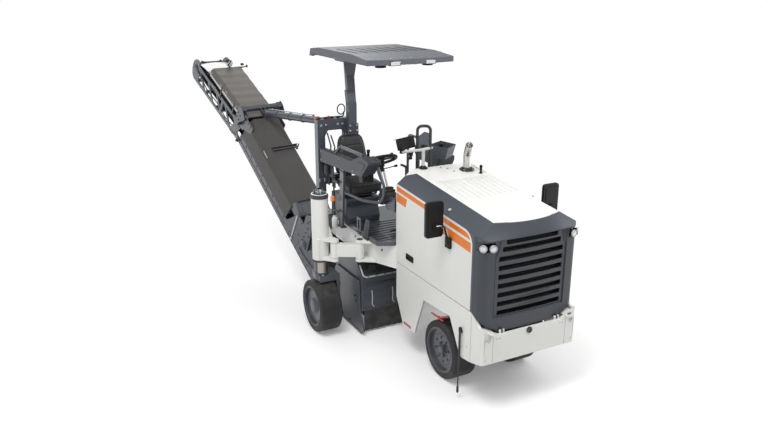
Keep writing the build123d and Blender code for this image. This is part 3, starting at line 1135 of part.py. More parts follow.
# ---------------------------------------------------------------- nodes
def wheels():
    """Tyre and rim of each wheel, by the table: (name, x, y, outer side)."""
    table = (("front_right", FRONT_AXLE_X, -FRONT_WHEEL_Y, -1), ("front_left", FRONT_AXLE_X, FRONT_WHEEL_Y, 1),
             ("rear_right", REAR_AXLE_X, REAR_RIGHT_Y, -1), ("rear_left", REAR_AXLE_X, REAR_LEFT_Y, 1))
    tyre = wheel_tyre()
    rims = {side: wheel_rim(side) for side in (-1, 1)}
    parts = {}
    for name, x, y, side in table:
        parts["tyre_" + name] = Pos(x, y, TYRE_R) * tyre
        parts["rim_" + name] = Pos(x, y, TYRE_R) * rims[side]
    return parts


def standing(shape, floor):
    """A fitting that stands on the floor, with the floor's ribs taken out of its foot."""
    pieces = shape if isinstance(shape, tuple) else (shape,)
    return [piece - floor for piece in pieces]


def build():
    """Every node of the machine by name, in the modelling datum."""
    nose = hood_grille()
    floor = platform()
    nodes = {
        "main_frame": main_frame(),
        "side_skirts": side_skirts(),
        "front_bumper": front_bumper(),
        "engine_block": engine_block(),
        "engine_cowl": engine_cowl(),
        "exhaust_pipe": exhaust_pipe() - engine_cowl(),
        "platform": floor,
        "seat_pedestal": standing(seat_pedestal(), floor),
        "seat": seat(),
        "console_right": console_right(),
        "console_left": standing(console_left(), floor),
        "steering_pedestal": standing(steering_pedestal(), floor),
        "steering_wheel": steering_wheel(),
        "display_unit": standing(display_unit(), floor),
        "guard_rails": standing(guard_rail(), floor),
        "access_steps": standing(access_steps(), floor),
        "mast_portal": mast_portal(),
        "canopy_mast": canopy_mast(),
        "canopy_roof": canopy_roof(),
        "drum_housing": drum_housing(),
        "front_flap": front_flap(),
        "scraper_door": scraper_door(),
        "milling_drum": milling_drum(),
        "edge_protector_right": edge_protector(HOUSING_Y[0], -1),
        "edge_protector_left": edge_protector(HOUSING_Y[1], 1),
        "front_axle": front_axle(),
        "knuckle_right": knuckle(-1),
        "knuckle_left": knuckle(1),
        "column_left": column_left(),
        "leg_left": leg(REAR_LEFT_Y, -1),
        "swing_arm": swing_arm(),
        "column_right": column_right(),
        "leg_right": leg(REAR_RIGHT_Y, 1),
        "hood_shell": hood_shell(),
        "hood_grille": nose,
        "head_lamps": head_lamps(nose),
        "mirrors": mirrors(),
        "pointer_rod": pointer_rod(),
        "slew_bracket": slew_bracket(),
        "conveyor_frame": conveyor_frame(),
        "conveyor_belt": conveyor_belt(),
        "conveyor_covers": conveyor_covers(),
        "lift_barrel": lift_barrel(),
        "lift_rod": lift_rod(),
    }
    nodes.update(wheels())
    return nodes


def as_compound(shape):
    """One compound of a node's solids."""
    pieces = shape if isinstance(shape, (tuple, list)) else (shape,)
    return Compound(children=[solid for piece in pieces for solid in piece.solids()])


NODES = {name: as_compound(shape) for name, shape in build().items()}
BOUNDS = Compound(children=[Compound(children=list(node.solids())) for node in NODES.values()]).bounding_box()
FOOTPRINT = ((BOUNDS.min.X + BOUNDS.max.X) / 2, (BOUNDS.min.Y + BOUNDS.max.Y) / 2, BOUNDS.min.Z)

for name, node in NODES.items():
    export_step(Pos(-FOOTPRINT[0], -FOOTPRINT[1], -FOOTPRINT[2]) * node, f"parts/{name}.step")
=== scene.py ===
"""Dressed model of a compact cold planer: pieces, finishes, floor, lights and camera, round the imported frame."""
import json
from math import cos, pi, radians, sin, tan

import bmesh
import bpy
import numpy as np
from mathutils import Matrix, Vector
from mathutils.bvhtree import BVHTree

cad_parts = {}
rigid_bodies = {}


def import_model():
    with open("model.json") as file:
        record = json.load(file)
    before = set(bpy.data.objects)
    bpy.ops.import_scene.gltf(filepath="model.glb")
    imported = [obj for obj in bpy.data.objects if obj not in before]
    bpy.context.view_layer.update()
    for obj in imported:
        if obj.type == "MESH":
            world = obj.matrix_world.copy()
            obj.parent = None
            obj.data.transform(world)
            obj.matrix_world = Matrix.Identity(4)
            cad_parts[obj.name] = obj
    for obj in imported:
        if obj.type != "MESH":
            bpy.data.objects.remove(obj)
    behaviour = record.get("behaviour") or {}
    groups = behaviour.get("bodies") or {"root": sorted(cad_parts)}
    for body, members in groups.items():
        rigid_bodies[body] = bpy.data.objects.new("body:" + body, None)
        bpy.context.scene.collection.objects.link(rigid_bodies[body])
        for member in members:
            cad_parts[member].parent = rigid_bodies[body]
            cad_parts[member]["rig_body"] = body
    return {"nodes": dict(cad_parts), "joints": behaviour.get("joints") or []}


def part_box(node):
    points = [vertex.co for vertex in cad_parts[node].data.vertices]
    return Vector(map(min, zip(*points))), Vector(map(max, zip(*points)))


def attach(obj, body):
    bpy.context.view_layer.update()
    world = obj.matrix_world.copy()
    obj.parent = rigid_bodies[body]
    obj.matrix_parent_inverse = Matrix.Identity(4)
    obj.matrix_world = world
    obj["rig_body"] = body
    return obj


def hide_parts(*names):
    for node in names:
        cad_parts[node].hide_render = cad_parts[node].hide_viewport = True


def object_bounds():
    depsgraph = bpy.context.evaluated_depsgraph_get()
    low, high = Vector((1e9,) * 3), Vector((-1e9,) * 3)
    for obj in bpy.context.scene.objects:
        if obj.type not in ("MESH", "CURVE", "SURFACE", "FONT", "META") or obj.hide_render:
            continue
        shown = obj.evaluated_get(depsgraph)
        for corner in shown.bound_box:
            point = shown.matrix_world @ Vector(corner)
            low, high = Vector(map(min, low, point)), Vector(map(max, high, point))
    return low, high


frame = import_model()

CAD_BOX = [list(corner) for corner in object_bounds()]
MM = 0.001

# The modelling datum is the hood's rear edge on the centre line, on the ground. Sizes are in millimetres from it.
SKIRT_LOW, SKIRT_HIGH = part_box("side_skirts")
DATUM = np.array([SKIRT_LOW.x, (SKIRT_LOW.y + SKIRT_HIGH.y) / 2, 0.0])
JOINTS = {joint["name"]: joint for joint in frame["joints"]}


def metres(points):
    """Datum millimetres to the frame's metres."""
    return DATUM + np.asarray(points, float) * MM


def datum(point):
    """A frame point in metres as datum millimetres."""
    return (np.asarray(point, float) - DATUM) / MM


# ------------------------------------------------------------ surfaces: each is (points, faces) in datum millimetres
def unit(v):
    """The vector or vectors at length one."""
    v = np.asarray(v, float)
    return v / np.linalg.norm(v, axis=-1, keepdims=True)


def grid_faces(rows, columns, closed_rows=False, closed_columns=False):
    """Quads between neighbouring points of a grid; a closed direction joins its last line to its first."""
    r, c = np.meshgrid(np.arange(rows if closed_rows else rows - 1),
        np.arange(columns if closed_columns else columns - 1), indexing="ij")
    r, c = r.ravel(), c.ravel()
    r2, c2 = (r + 1) % rows, (c + 1) % columns
    return np.stack([r * columns + c, r2 * columns + c, r2 * columns + c2, r * columns + c2], 1).tolist()


def swept(profile, origins, across, up, scale=1.0, ends=True, ring=False):
    """A closed profile carried along stations: point = origin + scale * (p0 * across + p1 * up), with flat ends."""
    profile, origins = np.asarray(profile, float), np.asarray(origins, float)
    count, size = len(origins), len(profile)
    across = np.broadcast_to(np.asarray(across, float), (count, 3))
    up = np.broadcast_to(np.asarray(up, float), (count, 3))
    scale = np.broadcast_to(np.asarray(scale, float), (count,))[:, None, None]
    points = origins[:, None] + scale * (profile[None, :, :1] * across[:, None] +
        profile[None, :, 1:] * up[:, None])
    faces = grid_faces(count, size, ring, True)
    if ends and not ring:
        faces += [list(range(size))[::-1], list(range((count - 1) * size, count * size))]
    return points.reshape(-1, 3), faces


def block(x0, x1, y0, y1, z0, z1):
    """A rectangle carried straight up between two corners."""
    outline = [(x0, y0), (x1, y0), (x1, y1), (x0, y1)]
    return swept(outline, [(0, 0, z0), (0, 0, z1)], (1, 0, 0), (0, 1, 0))


AXES = {"x": ((0, 1, 0), (0, 0, 1), (1, 0, 0)), "y": ((1, 0, 0), (0, 0, 1), (0, 1, 0)),
    "z": ((1, 0, 0), (0, 1, 0), (0, 0, 1))}


def prism(axis, outline, low, high):
    """An outline in the plane square to the axis, pushed from low to high along it."""
    across, up, along = (np.array(a, float) for a in AXES[axis])
    return swept(outline, [along * low, along * high], across, up)


def circle(radius, count=24, turn=0.0):
    """Points of a circle: radius times cosine and sine of the even steps."""
    a = turn + np.arange(count) * 2 * pi / count
    return np.stack([radius * np.cos(a), radius * np.sin(a)], 1)


def corner_turned(before, corner, after, radius, steps):
    """A corner turned on the radius, as a weighted quadratic between its two tangent points, or the bare corner."""
    a, b = unit(before - corner), unit(after - corner)
    half = np.arccos(np.clip(a @ b, -1, 1)) / 2
    if radius <= 0 or half > pi / 2 - 0.01:
        return corner[None]
    reach = min(radius / tan(half), 0.49 * np.linalg.norm(before - corner), 0.49 * np.linalg.norm(after - corner))
    t = np.linspace(0, 1, steps + 1)[:, None]
    weight = 2 * t * (1 - t) * sin(half)
    total = (1 - t) ** 2 + weight + t ** 2
    return ((1 - t) ** 2 * (corner + a * reach) + weight * corner + t ** 2 * (corner + b * reach)) / total


def rounded(outline, radius, steps=5):
    """An outline with each corner turned on the radius, or on its own radius where one is given for each corner."""
    outline = np.asarray(outline, float)
    radii = np.broadcast_to(np.asarray(radius, float), (len(outline),))
    after = np.roll(outline, -1, 0)
    return np.concatenate([corner_turned(outline[i - 1], corner, after[i], radii[i], steps)
        for i, corner in enumerate(outline)])


def rectangle(a0, a1, b0, b1, radius=0.0, steps=5):
    """A rectangle between two corners, its own corners turned on the radius."""
    return rounded([(a0, b0), (a1, b0), (a1, b1), (a0, b1)], radius, steps)


def bent(points, radius, steps=6):
    """A path with its inner corners turned on the radius."""
    points = np.asarray(points, float)
    inner = [corner_turned(*points[i:i + 3], radius, steps) for i in range(len(points) - 2)]
    return np.concatenate([points[:1], *inner, points[-1:]])


def frames_along(path):
    """Two unit vectors square to the path at each point, carried on without twist."""
    path = np.asarray(path, float)
    step = unit(np.gradient(path, axis=0))
    first = np.array([0, 0, 1.0]) if abs(step[0][2]) < 0.9 else np.array([1.0, 0, 0])
    across = [unit(np.cross(first, step[0]))]
    for tangent in step[1:]:
        across.append(unit(across[-1] - tangent * (across[-1] @ tangent)))
    across = np.array(across)
    return across, np.cross(step, across)


def tube(path, radius, count=16, taper=None):
    """A circle carried along a path; taper gives a share of the radius at each point."""
    across, up = frames_along(path)
    return swept(circle(radius, count), path, across, up, 1.0 if taper is None else taper)


def rod(start, end, radius, count=24):
    """A round bar between two points."""
    return tube(np.array([start, end], float), radius, count)


def turned(profile, centre, axis=(0, 0, 1), count=48, ring=False):
    """A profile of (distance along the axis, radius) turned about it; it closes on the axis, or on itself as a ring."""
    axis = unit(axis)
    side = unit(np.cross(axis, (0, 0, 1) if abs(axis[2]) < 0.9 else (1, 0, 0)))
    other = np.cross(axis, side)
    profile = np.asarray(profile, float)
    a = np.arange(count) * 2 * pi / count
    around = np.cos(a)[:, None] * side + np.sin(a)[:, None] * other
    points = np.asarray(centre, float) + profile[:, None, :1] * axis + profile[:, None, 1:] * around[None]
    faces = grid_faces(len(profile), count, ring, True)
    if not ring:
        faces += [list(range(count))[::-1], list(range((len(profile) - 1) * count, len(profile) * count))]
    return points.reshape(-1, 3), faces


def disc(centre, axis, radius, thick, count=32, edge=0.0):
    """A short round plate whose middle is the centre, with an optional chamfered edge."""
    half = thick / 2
    profile = [(-half, radius - edge), (-half + edge, radius), (half - edge, radius),
        (half, radius - edge)] if edge else [(-half, radius), (half, radius)]
    return turned(profile, centre, axis, count)


def bolt(centre, axis, radius=9.0, height=7.0):
    """A hexagon head on a washer: two turned profiles, one of six sides."""
    axis = unit(axis)
    washer = turned([(0, radius * 1.45), (1.6, radius * 1.45), (2.0, radius * 1.3)], centre, axis, 18)
    head = turned([(1.5, radius * 1.12), (height - 1.2, radius * 1.12), (height, radius * 0.92)], centre, axis, 6)
    return joined(washer, head)


def joined(*meshes):
    """Several surfaces as one."""
    points, faces, start = [], [], 0
    for p, f in meshes:
        points.append(np.asarray(p, float))
        faces += [[i + start for i in face] for face in f]
        start += len(p)
    return np.concatenate(points), faces


def moved(mesh, offset=(0, 0, 0), turn=None, about=(0, 0, 0)):
    """A surface turned about a point by a rotation matrix and then shifted."""
    points = np.asarray(mesh[0], float)
    if turn is not None:
        about = np.asarray(about, float)
        points = (points - about) @ np.asarray(turn, float)[:3, :3].T + about
    return points + np.asarray(offset, float), mesh[1]


def rotation(axis, angle):
    """Rotation matrix about an axis, in degrees."""
    return np.array(Matrix.Rotation(radians(angle), 3, Vector(axis)))


def set_in(mesh, origin, x_axis, z_axis):
    """A surface drawn about the origin, set down with its own x and z along the two directions."""
    x_axis, z_axis = unit(x_axis), unit(z_axis)
    turn = np.stack([x_axis, np.cross(z_axis, x_axis), z_axis], 1)
    return np.asarray(mesh[0], float) @ turn.T + np.asarray(origin, float), mesh[1]


def layered(outer, shift):
    """A sheet from a grid of outer points and the same grid shifted inwards, closed along its edges."""
    rows, columns = outer.shape[:2]
    count = rows * columns
    inner = outer + np.asarray(shift, float)
    faces = grid_faces(rows, columns) + [[i + count for i in f][::-1] for f in grid_faces(rows, columns)]
    edge = [i for i in range(columns)] + [r * columns + columns - 1 for r in range(1, rows)]
    edge += [(rows - 1) * columns + c for c in range(columns - 2, -1, -1)] + [r * columns
        for r in range(rows - 2, 0, -1)]
    faces += [[a, b, b + count, a + count] for a, b in zip(edge, edge[1:] + edge[:1])]
    return np.concatenate([outer.reshape(-1, 3), inner.reshape(-1, 3)]), faces


# ---------------------------------------------------------------- pieces
def piece(name, body, parts, bevel=0.0, segments=2, angle=35, replaces=()):
    """One object from [(finish, surface or list of surfaces), ...] that rides on the body.

    Its edges are rounded by the bevel width in millimetres, and it may stand for CAD nodes.
    """
    points, faces, index, finishes = [], [], [], []
    start = 0
    for finish, mesh in parts:
        mesh = joined(*mesh) if isinstance(mesh, list) else mesh
        if finish not in finishes:
            finishes.append(finish)
        points.append(metres(mesh[0]))
        faces += [[i + start for i in face] for face in mesh[1]]
        index += [finishes.index(finish)] * len(mesh[1])
        start += len(mesh[0])
    data = bpy.data.meshes.new(name)
    data.from_pydata(np.concatenate(points).tolist(), [], faces)
    data.polygons.foreach_set("material_index", np.array(index, np.int32))
    for finish in finishes:
        data.materials.append(FINISHES[finish])
    shape = bmesh.new()
    shape.from_mesh(data)
    bmesh.ops.recalc_face_normals(shape, faces=shape.faces)
    shape.to_mesh(data)
    shape.free()
    return finished(name, data, body, bevel, segments, angle, 0, replaces)


def finished(name, data, body, bevel, segments, angle, subdivision, replaces):
    """The object of a mesh, smooth between sharp edges, with its bevel and its place on a body."""
    data.shade_smooth()
    data.set_sharp_from_angle(angle=radians(angle))
    thing = bpy.data.objects.new(name, data)
    bpy.context.scene.collection.objects.link(thing)
    if subdivision:
        smooth = thing.modifiers.new("smooth", "SUBSURF")
        smooth.levels = smooth.render_levels = subdivision
    if bevel:
        edge = thing.modifiers.new("edge", "BEVEL")
        edge.width, edge.segments, edge.limit_method = bevel * MM, segments, "ANGLE"
        edge.angle_limit, edge.harden_normals, edge.use_clamp_overlap = radians(angle), True, False
    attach(thing, body)
    if replaces:
        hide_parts(*replaces)
    return thing


def body_with(node):
    """The body that a CAD node rides on."""
    return frame["nodes"][node]["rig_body"]


def eased(node, finish, width=2.0, segments=2, angle=32, zones=()):
    """A CAD node's own surface, merged into clean faces, with its edges rounded; it stands for the node.

    A zone is (finish, test): faces whose middle and corners, in datum millimetres, pass the test get that finish.
    """
    shape = bmesh.new()
    shape.from_mesh(frame["nodes"][node].data)
    bmesh.ops.remove_doubles(shape, verts=shape.verts, dist=2e-6)
    bmesh.ops.dissolve_limit(shape, angle_limit=radians(0.4), verts=shape.verts, edges=shape.edges)
    for face in shape.faces:
        face.material_index = 0
    for number, (_, test) in enumerate(zones, 1):
        for face in shape.faces:
            if test(datum(face.calc_center_median()), datum([corner.co for corner in face.verts])):
                face.material_index = number
    data = bpy.data.meshes.new(node + "_dressed")
    shape.to_mesh(data)
    shape.free()
    for name in ("custom_normal", "sharp_face", "sharp_edge"):
        if name in data.attributes:
            data.attributes.remove(data.attributes[name])
    for look in (finish, *(zone[0] for zone in zones)):
        data.materials.append(FINISHES[look])
    return finished(node + "_dressed", data, body_with(node), width, segments, angle, 0, (node,))


# ---------------------------------------------------------------- finishes
def feed(tree, made, inputs):
    """The node with its inputs set: an input is a value or another node's output socket."""
    for key, value in inputs.items():
        if isinstance(value, bpy.types.NodeSocket):
            tree.links.new(value, made.inputs[key])
        else:
            made.inputs[key].default_value = value
    return made


def node(tree, kind, inputs=None, **settings):
    """A shader node with its settings and inputs."""
    made = tree.nodes.new(kind)
    for key, value in settings.items():
        setattr(made, key, value)
    return feed(tree, made, inputs or {})


def math_node(tree, operation, a, b=0.0, clamp=False):
    """One arithmetic step between numbers or sockets."""
    return node(tree, "ShaderNodeMath", {0: a, 1: b}, operation=operation, use_clamp=clamp).outputs[0]


def times(tree, a, b, **settings):
    """a times b."""
    return math_node(tree, "MULTIPLY", a, b, **settings)


def plus(tree, a, b, **settings):
    """a plus b."""
    return math_node(tree, "ADD", a, b, **settings)


def less(tree, a, b, **settings):
    """a less b."""
    return math_node(tree, "SUBTRACT", a, b, **settings)


def between(tree, value, low, high):
    """Smooth step of a value from 0 at low to 1 at high."""
    return node(tree, "ShaderNodeMapRange", {"Value": value, "From Min": low, "From Max": high},
                interpolation_type="SMOOTHSTEP").outputs[0]


def mixed(tree, share, a, b):
    """Colour a turned into colour b by a share."""
    whole = lambda colour: colour if isinstance(colour, bpy.types.NodeSocket) else (*colour, 1.0)[:4]
    return node(tree, "ShaderNodeMix", {0: share, 6: whole(a), 7: whole(b)}, data_type="RGBA").outputs[2]


def group(name, inputs, outputs):
    """An empty shader node group with named sockets: its tree, its input node and its output node."""
    tree = bpy.data.node_groups.new(name, "ShaderNodeTree")
    for label, kind, value in inputs:
        socket = tree.interface.new_socket(label, in_out="INPUT", socket_type=kind)
        socket.default_value = value
    for label, kind in outputs:
        tree.interface.new_socket(label, in_out="OUTPUT", socket_type=kind)
    return tree, tree.nodes.new("NodeGroupInput"), tree.nodes.new("NodeGroupOutput")


def noise(tree, scale, detail=3.0, rough=0.5, vector=None, stretch=None):
    """A noise field on Object coordinates, with an optional stretch of each axis."""
    if vector is None:
        vector = node(tree, "ShaderNodeTexCoord").outputs["Object"]
    if stretch:
        vector = node(tree, "ShaderNodeMapping", {"Vector": vector, "Scale": stretch}).outputs[0]
    return node(tree, "ShaderNodeTexNoise", {"Vector": vector, "Scale": scale, "Detail": detail,
        "Roughness": rough}).outputs["Fac"]


def make_grain():
    """Surface grain: fine noise plus rounded cells, mixed by Cells, as a height."""
    tree, given, made = group("surface_grain",
        [("Scale", "NodeSocketFloat", 400.0), ("Cells", "NodeSocketFloat", 0.0)], [("Height", "NodeSocketFloat")])
    vector = node(tree, "ShaderNodeTexCoord").outputs["Object"]
    fine = noise(tree, given.outputs["Scale"], 4.0, 0.6, vector)
    cell = node(tree, "ShaderNodeTexVoronoi", {"Vector": vector, "Scale": given.outputs["Scale"]},
        feature="SMOOTH_F1")
    both = node(tree, "ShaderNodeMix", {0: given.outputs["Cells"], 2: fine, 3: cell.outputs["Distance"]},
        data_type="FLOAT")
    tree.links.new(both.outputs[0], made.inputs["Height"])
    return tree


def make_tone():
    """Uneven colour: broad clouds and fine specks lighten and darken the colour by Amount."""
    tree, given, made = group("uneven_tone", [("Colour", "NodeSocketColor", (1, 1, 1, 1)),
        ("Amount", "NodeSocketFloat", 0.1), ("Scale", "NodeSocketFloat", 3.0)], [("Colour", "NodeSocketColor")])
    vector = node(tree, "ShaderNodeTexCoord").outputs["Object"]
    broad = noise(tree, given.outputs["Scale"], 5.0, 0.55, vector)
    fine = noise(tree, times(tree, given.outputs["Scale"], 40.0), 2.0, 0.5, vector)
    level = plus(tree, times(tree, broad, 0.75), times(tree, fine, 0.25))
    level = times(tree, less(tree, level, 0.5), given.outputs["Amount"])
    gain = plus(tree, 1.0, times(tree, level, 2.0))
    colour = node(tree, "ShaderNodeVectorMath", {0: given.outputs["Colour"], "Scale": gain}, operation="SCALE")
    tree.links.new(colour.outputs[0], made.inputs["Colour"])
    return tree


def make_wear():
    """Edge wear: where a rounded normal leaves the true one, broken up by noise, as a mask."""
    tree, given, made = group("edge_wear", [("Radius", "NodeSocketFloat", 0.003),
        ("Amount", "NodeSocketFloat", 0.5)], [("Mask", "NodeSocketFloat")])
    soft = node(tree, "ShaderNodeBevel", {"Radius": given.outputs["Radius"]}, samples=4).outputs[0]
    true = node(tree, "ShaderNodeNewGeometry").outputs["True Normal"]
    dot = node(tree, "ShaderNodeVectorMath", {0: soft, 1: true}, operation="DOT_PRODUCT").outputs["Value"]
    away = less(tree, 1.0, dot)
    broken = times(tree, away, between(tree, noise(tree, 60.0, 4.0, 0.7), 0.4, 0.65))
    mask = times(tree, between(tree, broken, 0.02, 0.12), given.outputs["Amount"])
    tree.links.new(mask, made.inputs["Mask"])
    return tree


def make_dust():
    """Settled dust: upward faces and the lower parts take more, in clouds, as a mask."""
    tree, given, made = group("settled_dust",
        [("Amount", "NodeSocketFloat", 0.2), ("Reach", "NodeSocketFloat", 0.6)], [("Mask", "NodeSocketFloat")])
    geometry = node(tree, "ShaderNodeNewGeometry")
    upward = between(tree, node(tree, "ShaderNodeSeparateXYZ", {0: geometry.outputs["Normal"]}).outputs[2], 0.2,
        1.0)
    height = node(tree, "ShaderNodeSeparateXYZ",
        {0: node(tree, "ShaderNodeTexCoord").outputs["Object"]}).outputs[2]
    low = less(tree, 1.0, between(tree, height, 0.0, given.outputs["Reach"]))
    cloud = between(tree, noise(tree, 9.0, 6.0, 0.65), 0.35, 0.7)
    both = plus(tree, times(tree, upward, 0.6), low, clamp=True)
    mask = times(tree, times(tree, both, cloud), given.outputs["Amount"], clamp=True)
    tree.links.new(mask, made.inputs["Mask"])
    return tree


GRAIN, TONE, WEAR, DUST = make_grain(), make_tone(), make_wear(), make_dust()


def placed(tree, shared, inputs):
    """The first output of a shared group set in a material with its own values."""
    made = node(tree, "ShaderNodeGroup")
    made.node_tree = shared
    return feed(tree, made, inputs).outputs[0]


def finish(name, colour, rough, metallic=0.0, coat=0.0, grain=(300.0, 0.0, 0.02), tone=(0.06, 3.0),
        rough_swing=0.08, wear=0.0, worn=(0.35, 0.36, 0.38), dust=0.0, reach=0.6, paint=None, brushed=None,
        sheen=0.0, emission=None, shine=0.5):
    """A finish: base colour or a painted pattern, uneven tone, edge wear, dust, roughness clouds and a grain bump.

    grain is (scale, share of round cells, depth in millimetres), tone is (amount, scale), brushed is a stretch of the
    bump's noise that draws it out into lines.
    """
    material = bpy.data.materials.new(name)
    material.use_nodes = True
    tree = material.node_tree
    shader = tree.nodes["Principled BSDF"]
    base = paint(tree) if paint else (*colour, 1.0)
    base = placed(tree, TONE, {"Colour": base, "Amount": tone[0], "Scale": tone[1]})
    roughness = plus(tree, rough - rough_swing / 2, times(tree, noise(tree, 14.0, 5.0, 0.6), rough_swing))
    if dust:
        mask = placed(tree, DUST, {"Amount": dust, "Reach": reach})
        base = mixed(tree, mask, base, (0.30, 0.28, 0.25))
        roughness = plus(tree, roughness, times(tree, mask, 0.35), clamp=True)
    if wear:
        mask = placed(tree, WEAR, {"Radius": 0.0035, "Amount": wear})
        base = mixed(tree, mask, base, worn)
    tree.links.new(base, shader.inputs["Base Color"])
    tree.links.new(roughness, shader.inputs["Roughness"])
    shader.inputs["Metallic"].default_value = metallic
    shader.inputs["Coat Weight"].default_value = coat
    shader.inputs["Coat Roughness"].default_value = 0.12
    shader.inputs["Specular IOR Level"].default_value = shine
    if sheen:
        shader.inputs["Sheen Weight"].default_value = sheen
        shader.inputs["Sheen Roughness"].default_value = 0.5
    if emission:
        shader.inputs["Emission Color"].default_value = (*emission[:3], 1.0)
        shader.inputs["Emission Strength"].default_value = emission[3]
    if brushed:
        height = noise(tree, 1.0, 3.0, 0.6, None, brushed)
    else:
        height = placed(tree, GRAIN, {"Scale": grain[0], "Cells": grain[1]})
    bump = node(tree, "ShaderNodeBump", {"Height": height, "Strength": 1.0, "Distance": grain[2] * MM})
    tree.links.new(bump.outputs[0], shader.inputs["Normal"])
    FINISHES[name] = material
    return material


FINISHES = {}
WHITE = (0.80, 0.80, 0.775)
SLATE = (0.056, 0.064, 0.080)
ORANGE = (0.80, 0.185, 0.002)


def object_mm(tree):
    """Object coordinates in datum millimetres: x, y and z sockets."""
    place = node(tree, "ShaderNodeTexCoord").outputs["Object"]
    shifted = node(tree, "ShaderNodeVectorMath", {0: place, 1: tuple(DATUM)}, operation="SUBTRACT").outputs[0]
    scaled = node(tree, "ShaderNodeVectorMath", {0: shifted, "Scale": 1 / MM}, operation="SCALE").outputs[0]
    return tuple(node(tree, "ShaderNodeSeparateXYZ", {0: scaled}).outputs)


# stripes on the hood's sides, by their height at the hood's rear edge
STRIPE_FALL = 0.0825          # the stripes drop by this per millimetre forwards
STRIPE_TOP = 1732.0           # lower edge of the slate shoulder
FRONT_EDGE_X = 1330.0         # the slate border turns down here
BORDER_RADIUS = 112.0
STRIPES = ((1709.0, 1661.0), (1638.0, 1550.0))
GAP_IN_LOW_STRIPE = (200.0, 600.0)
ROOF_EDGE_Y = 350.0
ROOF_FRONT = (1461.0, 0.00052)      # the white roof ends at x = first - second * y * y


def hood_paint(tree):
    """White hood with slate shoulders and front border, two orange stripes, and the white roof panel."""
    x, y, z = object_mm(tree)
    m = lambda op, a, b=0.0: math_node(tree, op, a, b)
    side = m("ABSOLUTE", y)
    level = m("ADD", z, m("MULTIPLY", x, STRIPE_FALL))
    over = m("ADD", m("SUBTRACT", level, STRIPE_TOP), BORDER_RADIUS)
    ahead = m("ADD", m("SUBTRACT", x, FRONT_EDGE_X), BORDER_RADIUS)
    out = m("SQRT", m("ADD", m("POWER", m("MAXIMUM", over, 0.0), 2.0), m("POWER", m("MAXIMUM", ahead, 0.0), 2.0)))
    distance = m("SUBTRACT", m("ADD", out, m("MINIMUM", m("MAXIMUM", over, ahead), 0.0)), BORDER_RADIUS)
    slate = between(tree, distance, -1.0, 1.0)
    clear = m("SUBTRACT", 1.0, between(tree, distance, -23.0, -21.0))
    bands = 0.0
    for index, (top, low) in enumerate(STRIPES):
        band = m("MULTIPLY", between(tree, level, low - 1, low + 1),
            m("SUBTRACT", 1.0, between(tree, level, top - 1, top + 1)))
        if index:
            slanted = m("ADD", x, m("MULTIPLY", m("SUBTRACT", 1600.0, z), 0.3))
            behind = m("SUBTRACT", 1.0, between(tree, slanted, GAP_IN_LOW_STRIPE[0] - 1,
                GAP_IN_LOW_STRIPE[0] + 1))
            before = between(tree, slanted, GAP_IN_LOW_STRIPE[1] - 1, GAP_IN_LOW_STRIPE[1] + 1)
            band = m("MULTIPLY", band, m("ADD", behind, before))
        bands = m("ADD", bands, band)
    facing = node(tree, "ShaderNodeSeparateXYZ",
        {0: node(tree, "ShaderNodeNewGeometry").outputs["Normal"]}).outputs[1]
    outward = between(tree, m("MULTIPLY", y, facing), -60.0, -30.0)
    colour = mixed(tree, m("MULTIPLY", m("MULTIPLY", bands, clear), outward), WHITE, ORANGE)
    colour = mixed(tree, slate, colour, SLATE)
    limit = m("SUBTRACT", ROOF_FRONT[0], m("MULTIPLY", m("MULTIPLY", y, y), ROOF_FRONT[1]))
    flare = m("MULTIPLY", m("MAXIMUM", m("SUBTRACT", 110.0, x), 0.0), 0.6)
    inside = m("SUBTRACT", 1.0, between(tree, m("SUBTRACT", side, flare), ROOF_EDGE_Y - 1, ROOF_EDGE_Y + 1))
    inside = m("MULTIPLY", inside, m("SUBTRACT", 1.0, between(tree, m("SUBTRACT", x, limit), -1.0, 1.0)))
    roof = m("MULTIPLY", inside, between(tree, z, 1640.0, 1645.0))
    return mixed(tree, roof, colour, WHITE)


finish("hood_paint", WHITE, 0.38, coat=0.06, grain=(900.0, 0.0, 0.01), tone=(0.025, 1.4), wear=0.15,
    paint=hood_paint)
finish("white_paint", WHITE, 0.32, coat=0.3, grain=(900.0, 0.0, 0.012), tone=(0.035, 2.0), wear=0.2, dust=0.10)
finish("slate_paint", SLATE, 0.36, coat=0.25, grain=(800.0, 0.0, 0.015), tone=(0.12, 2.5), wear=0.35, dust=0.10)
finish("canopy_shell", (0.098, 0.104, 0.124), 0.48, grain=(1500.0, 1.0, 0.05), tone=(0.10, 4.0), wear=0.1)
finish("slate_plastic", (0.034, 0.039, 0.049), 0.50, grain=(1500.0, 1.0, 0.05), tone=(0.10, 4.0), wear=0.15,
    dust=0.06)
finish("black_plastic", (0.009, 0.0095, 0.0105), 0.42, grain=(1400.0, 1.0, 0.05), tone=(0.1, 5.0), wear=0.05,
    worn=(0.06, 0.06, 0.06), shine=0.25)
finish("black_gloss", (0.006, 0.006, 0.007), 0.10, coat=0.6, grain=(300.0, 0.0, 0.0), tone=(0.1, 5.0),
    rough_swing=0.05)
finish("black_steel", (0.028, 0.030, 0.033), 0.45, metallic=0.3, grain=(700.0, 0.0, 0.04), tone=(0.2, 5.0),
    wear=0.5)
finish("grey_steel", (0.20, 0.205, 0.21), 0.42, metallic=0.85, grain=(500.0, 0.0, 0.04), tone=(0.2, 6.0),
    wear=0.4, worn=(0.6, 0.6, 0.6))
finish("zinc", (0.55, 0.56, 0.57), 0.34, metallic=0.9, grain=(260.0, 1.0, 0.03), tone=(0.15, 12.0))
finish("ram_chrome", (0.68, 0.69, 0.70), 0.14, metallic=1.0, tone=(0.05, 8.0), brushed=(60.0, 60.0, 900.0),
    grain=(0, 0, 0.01))
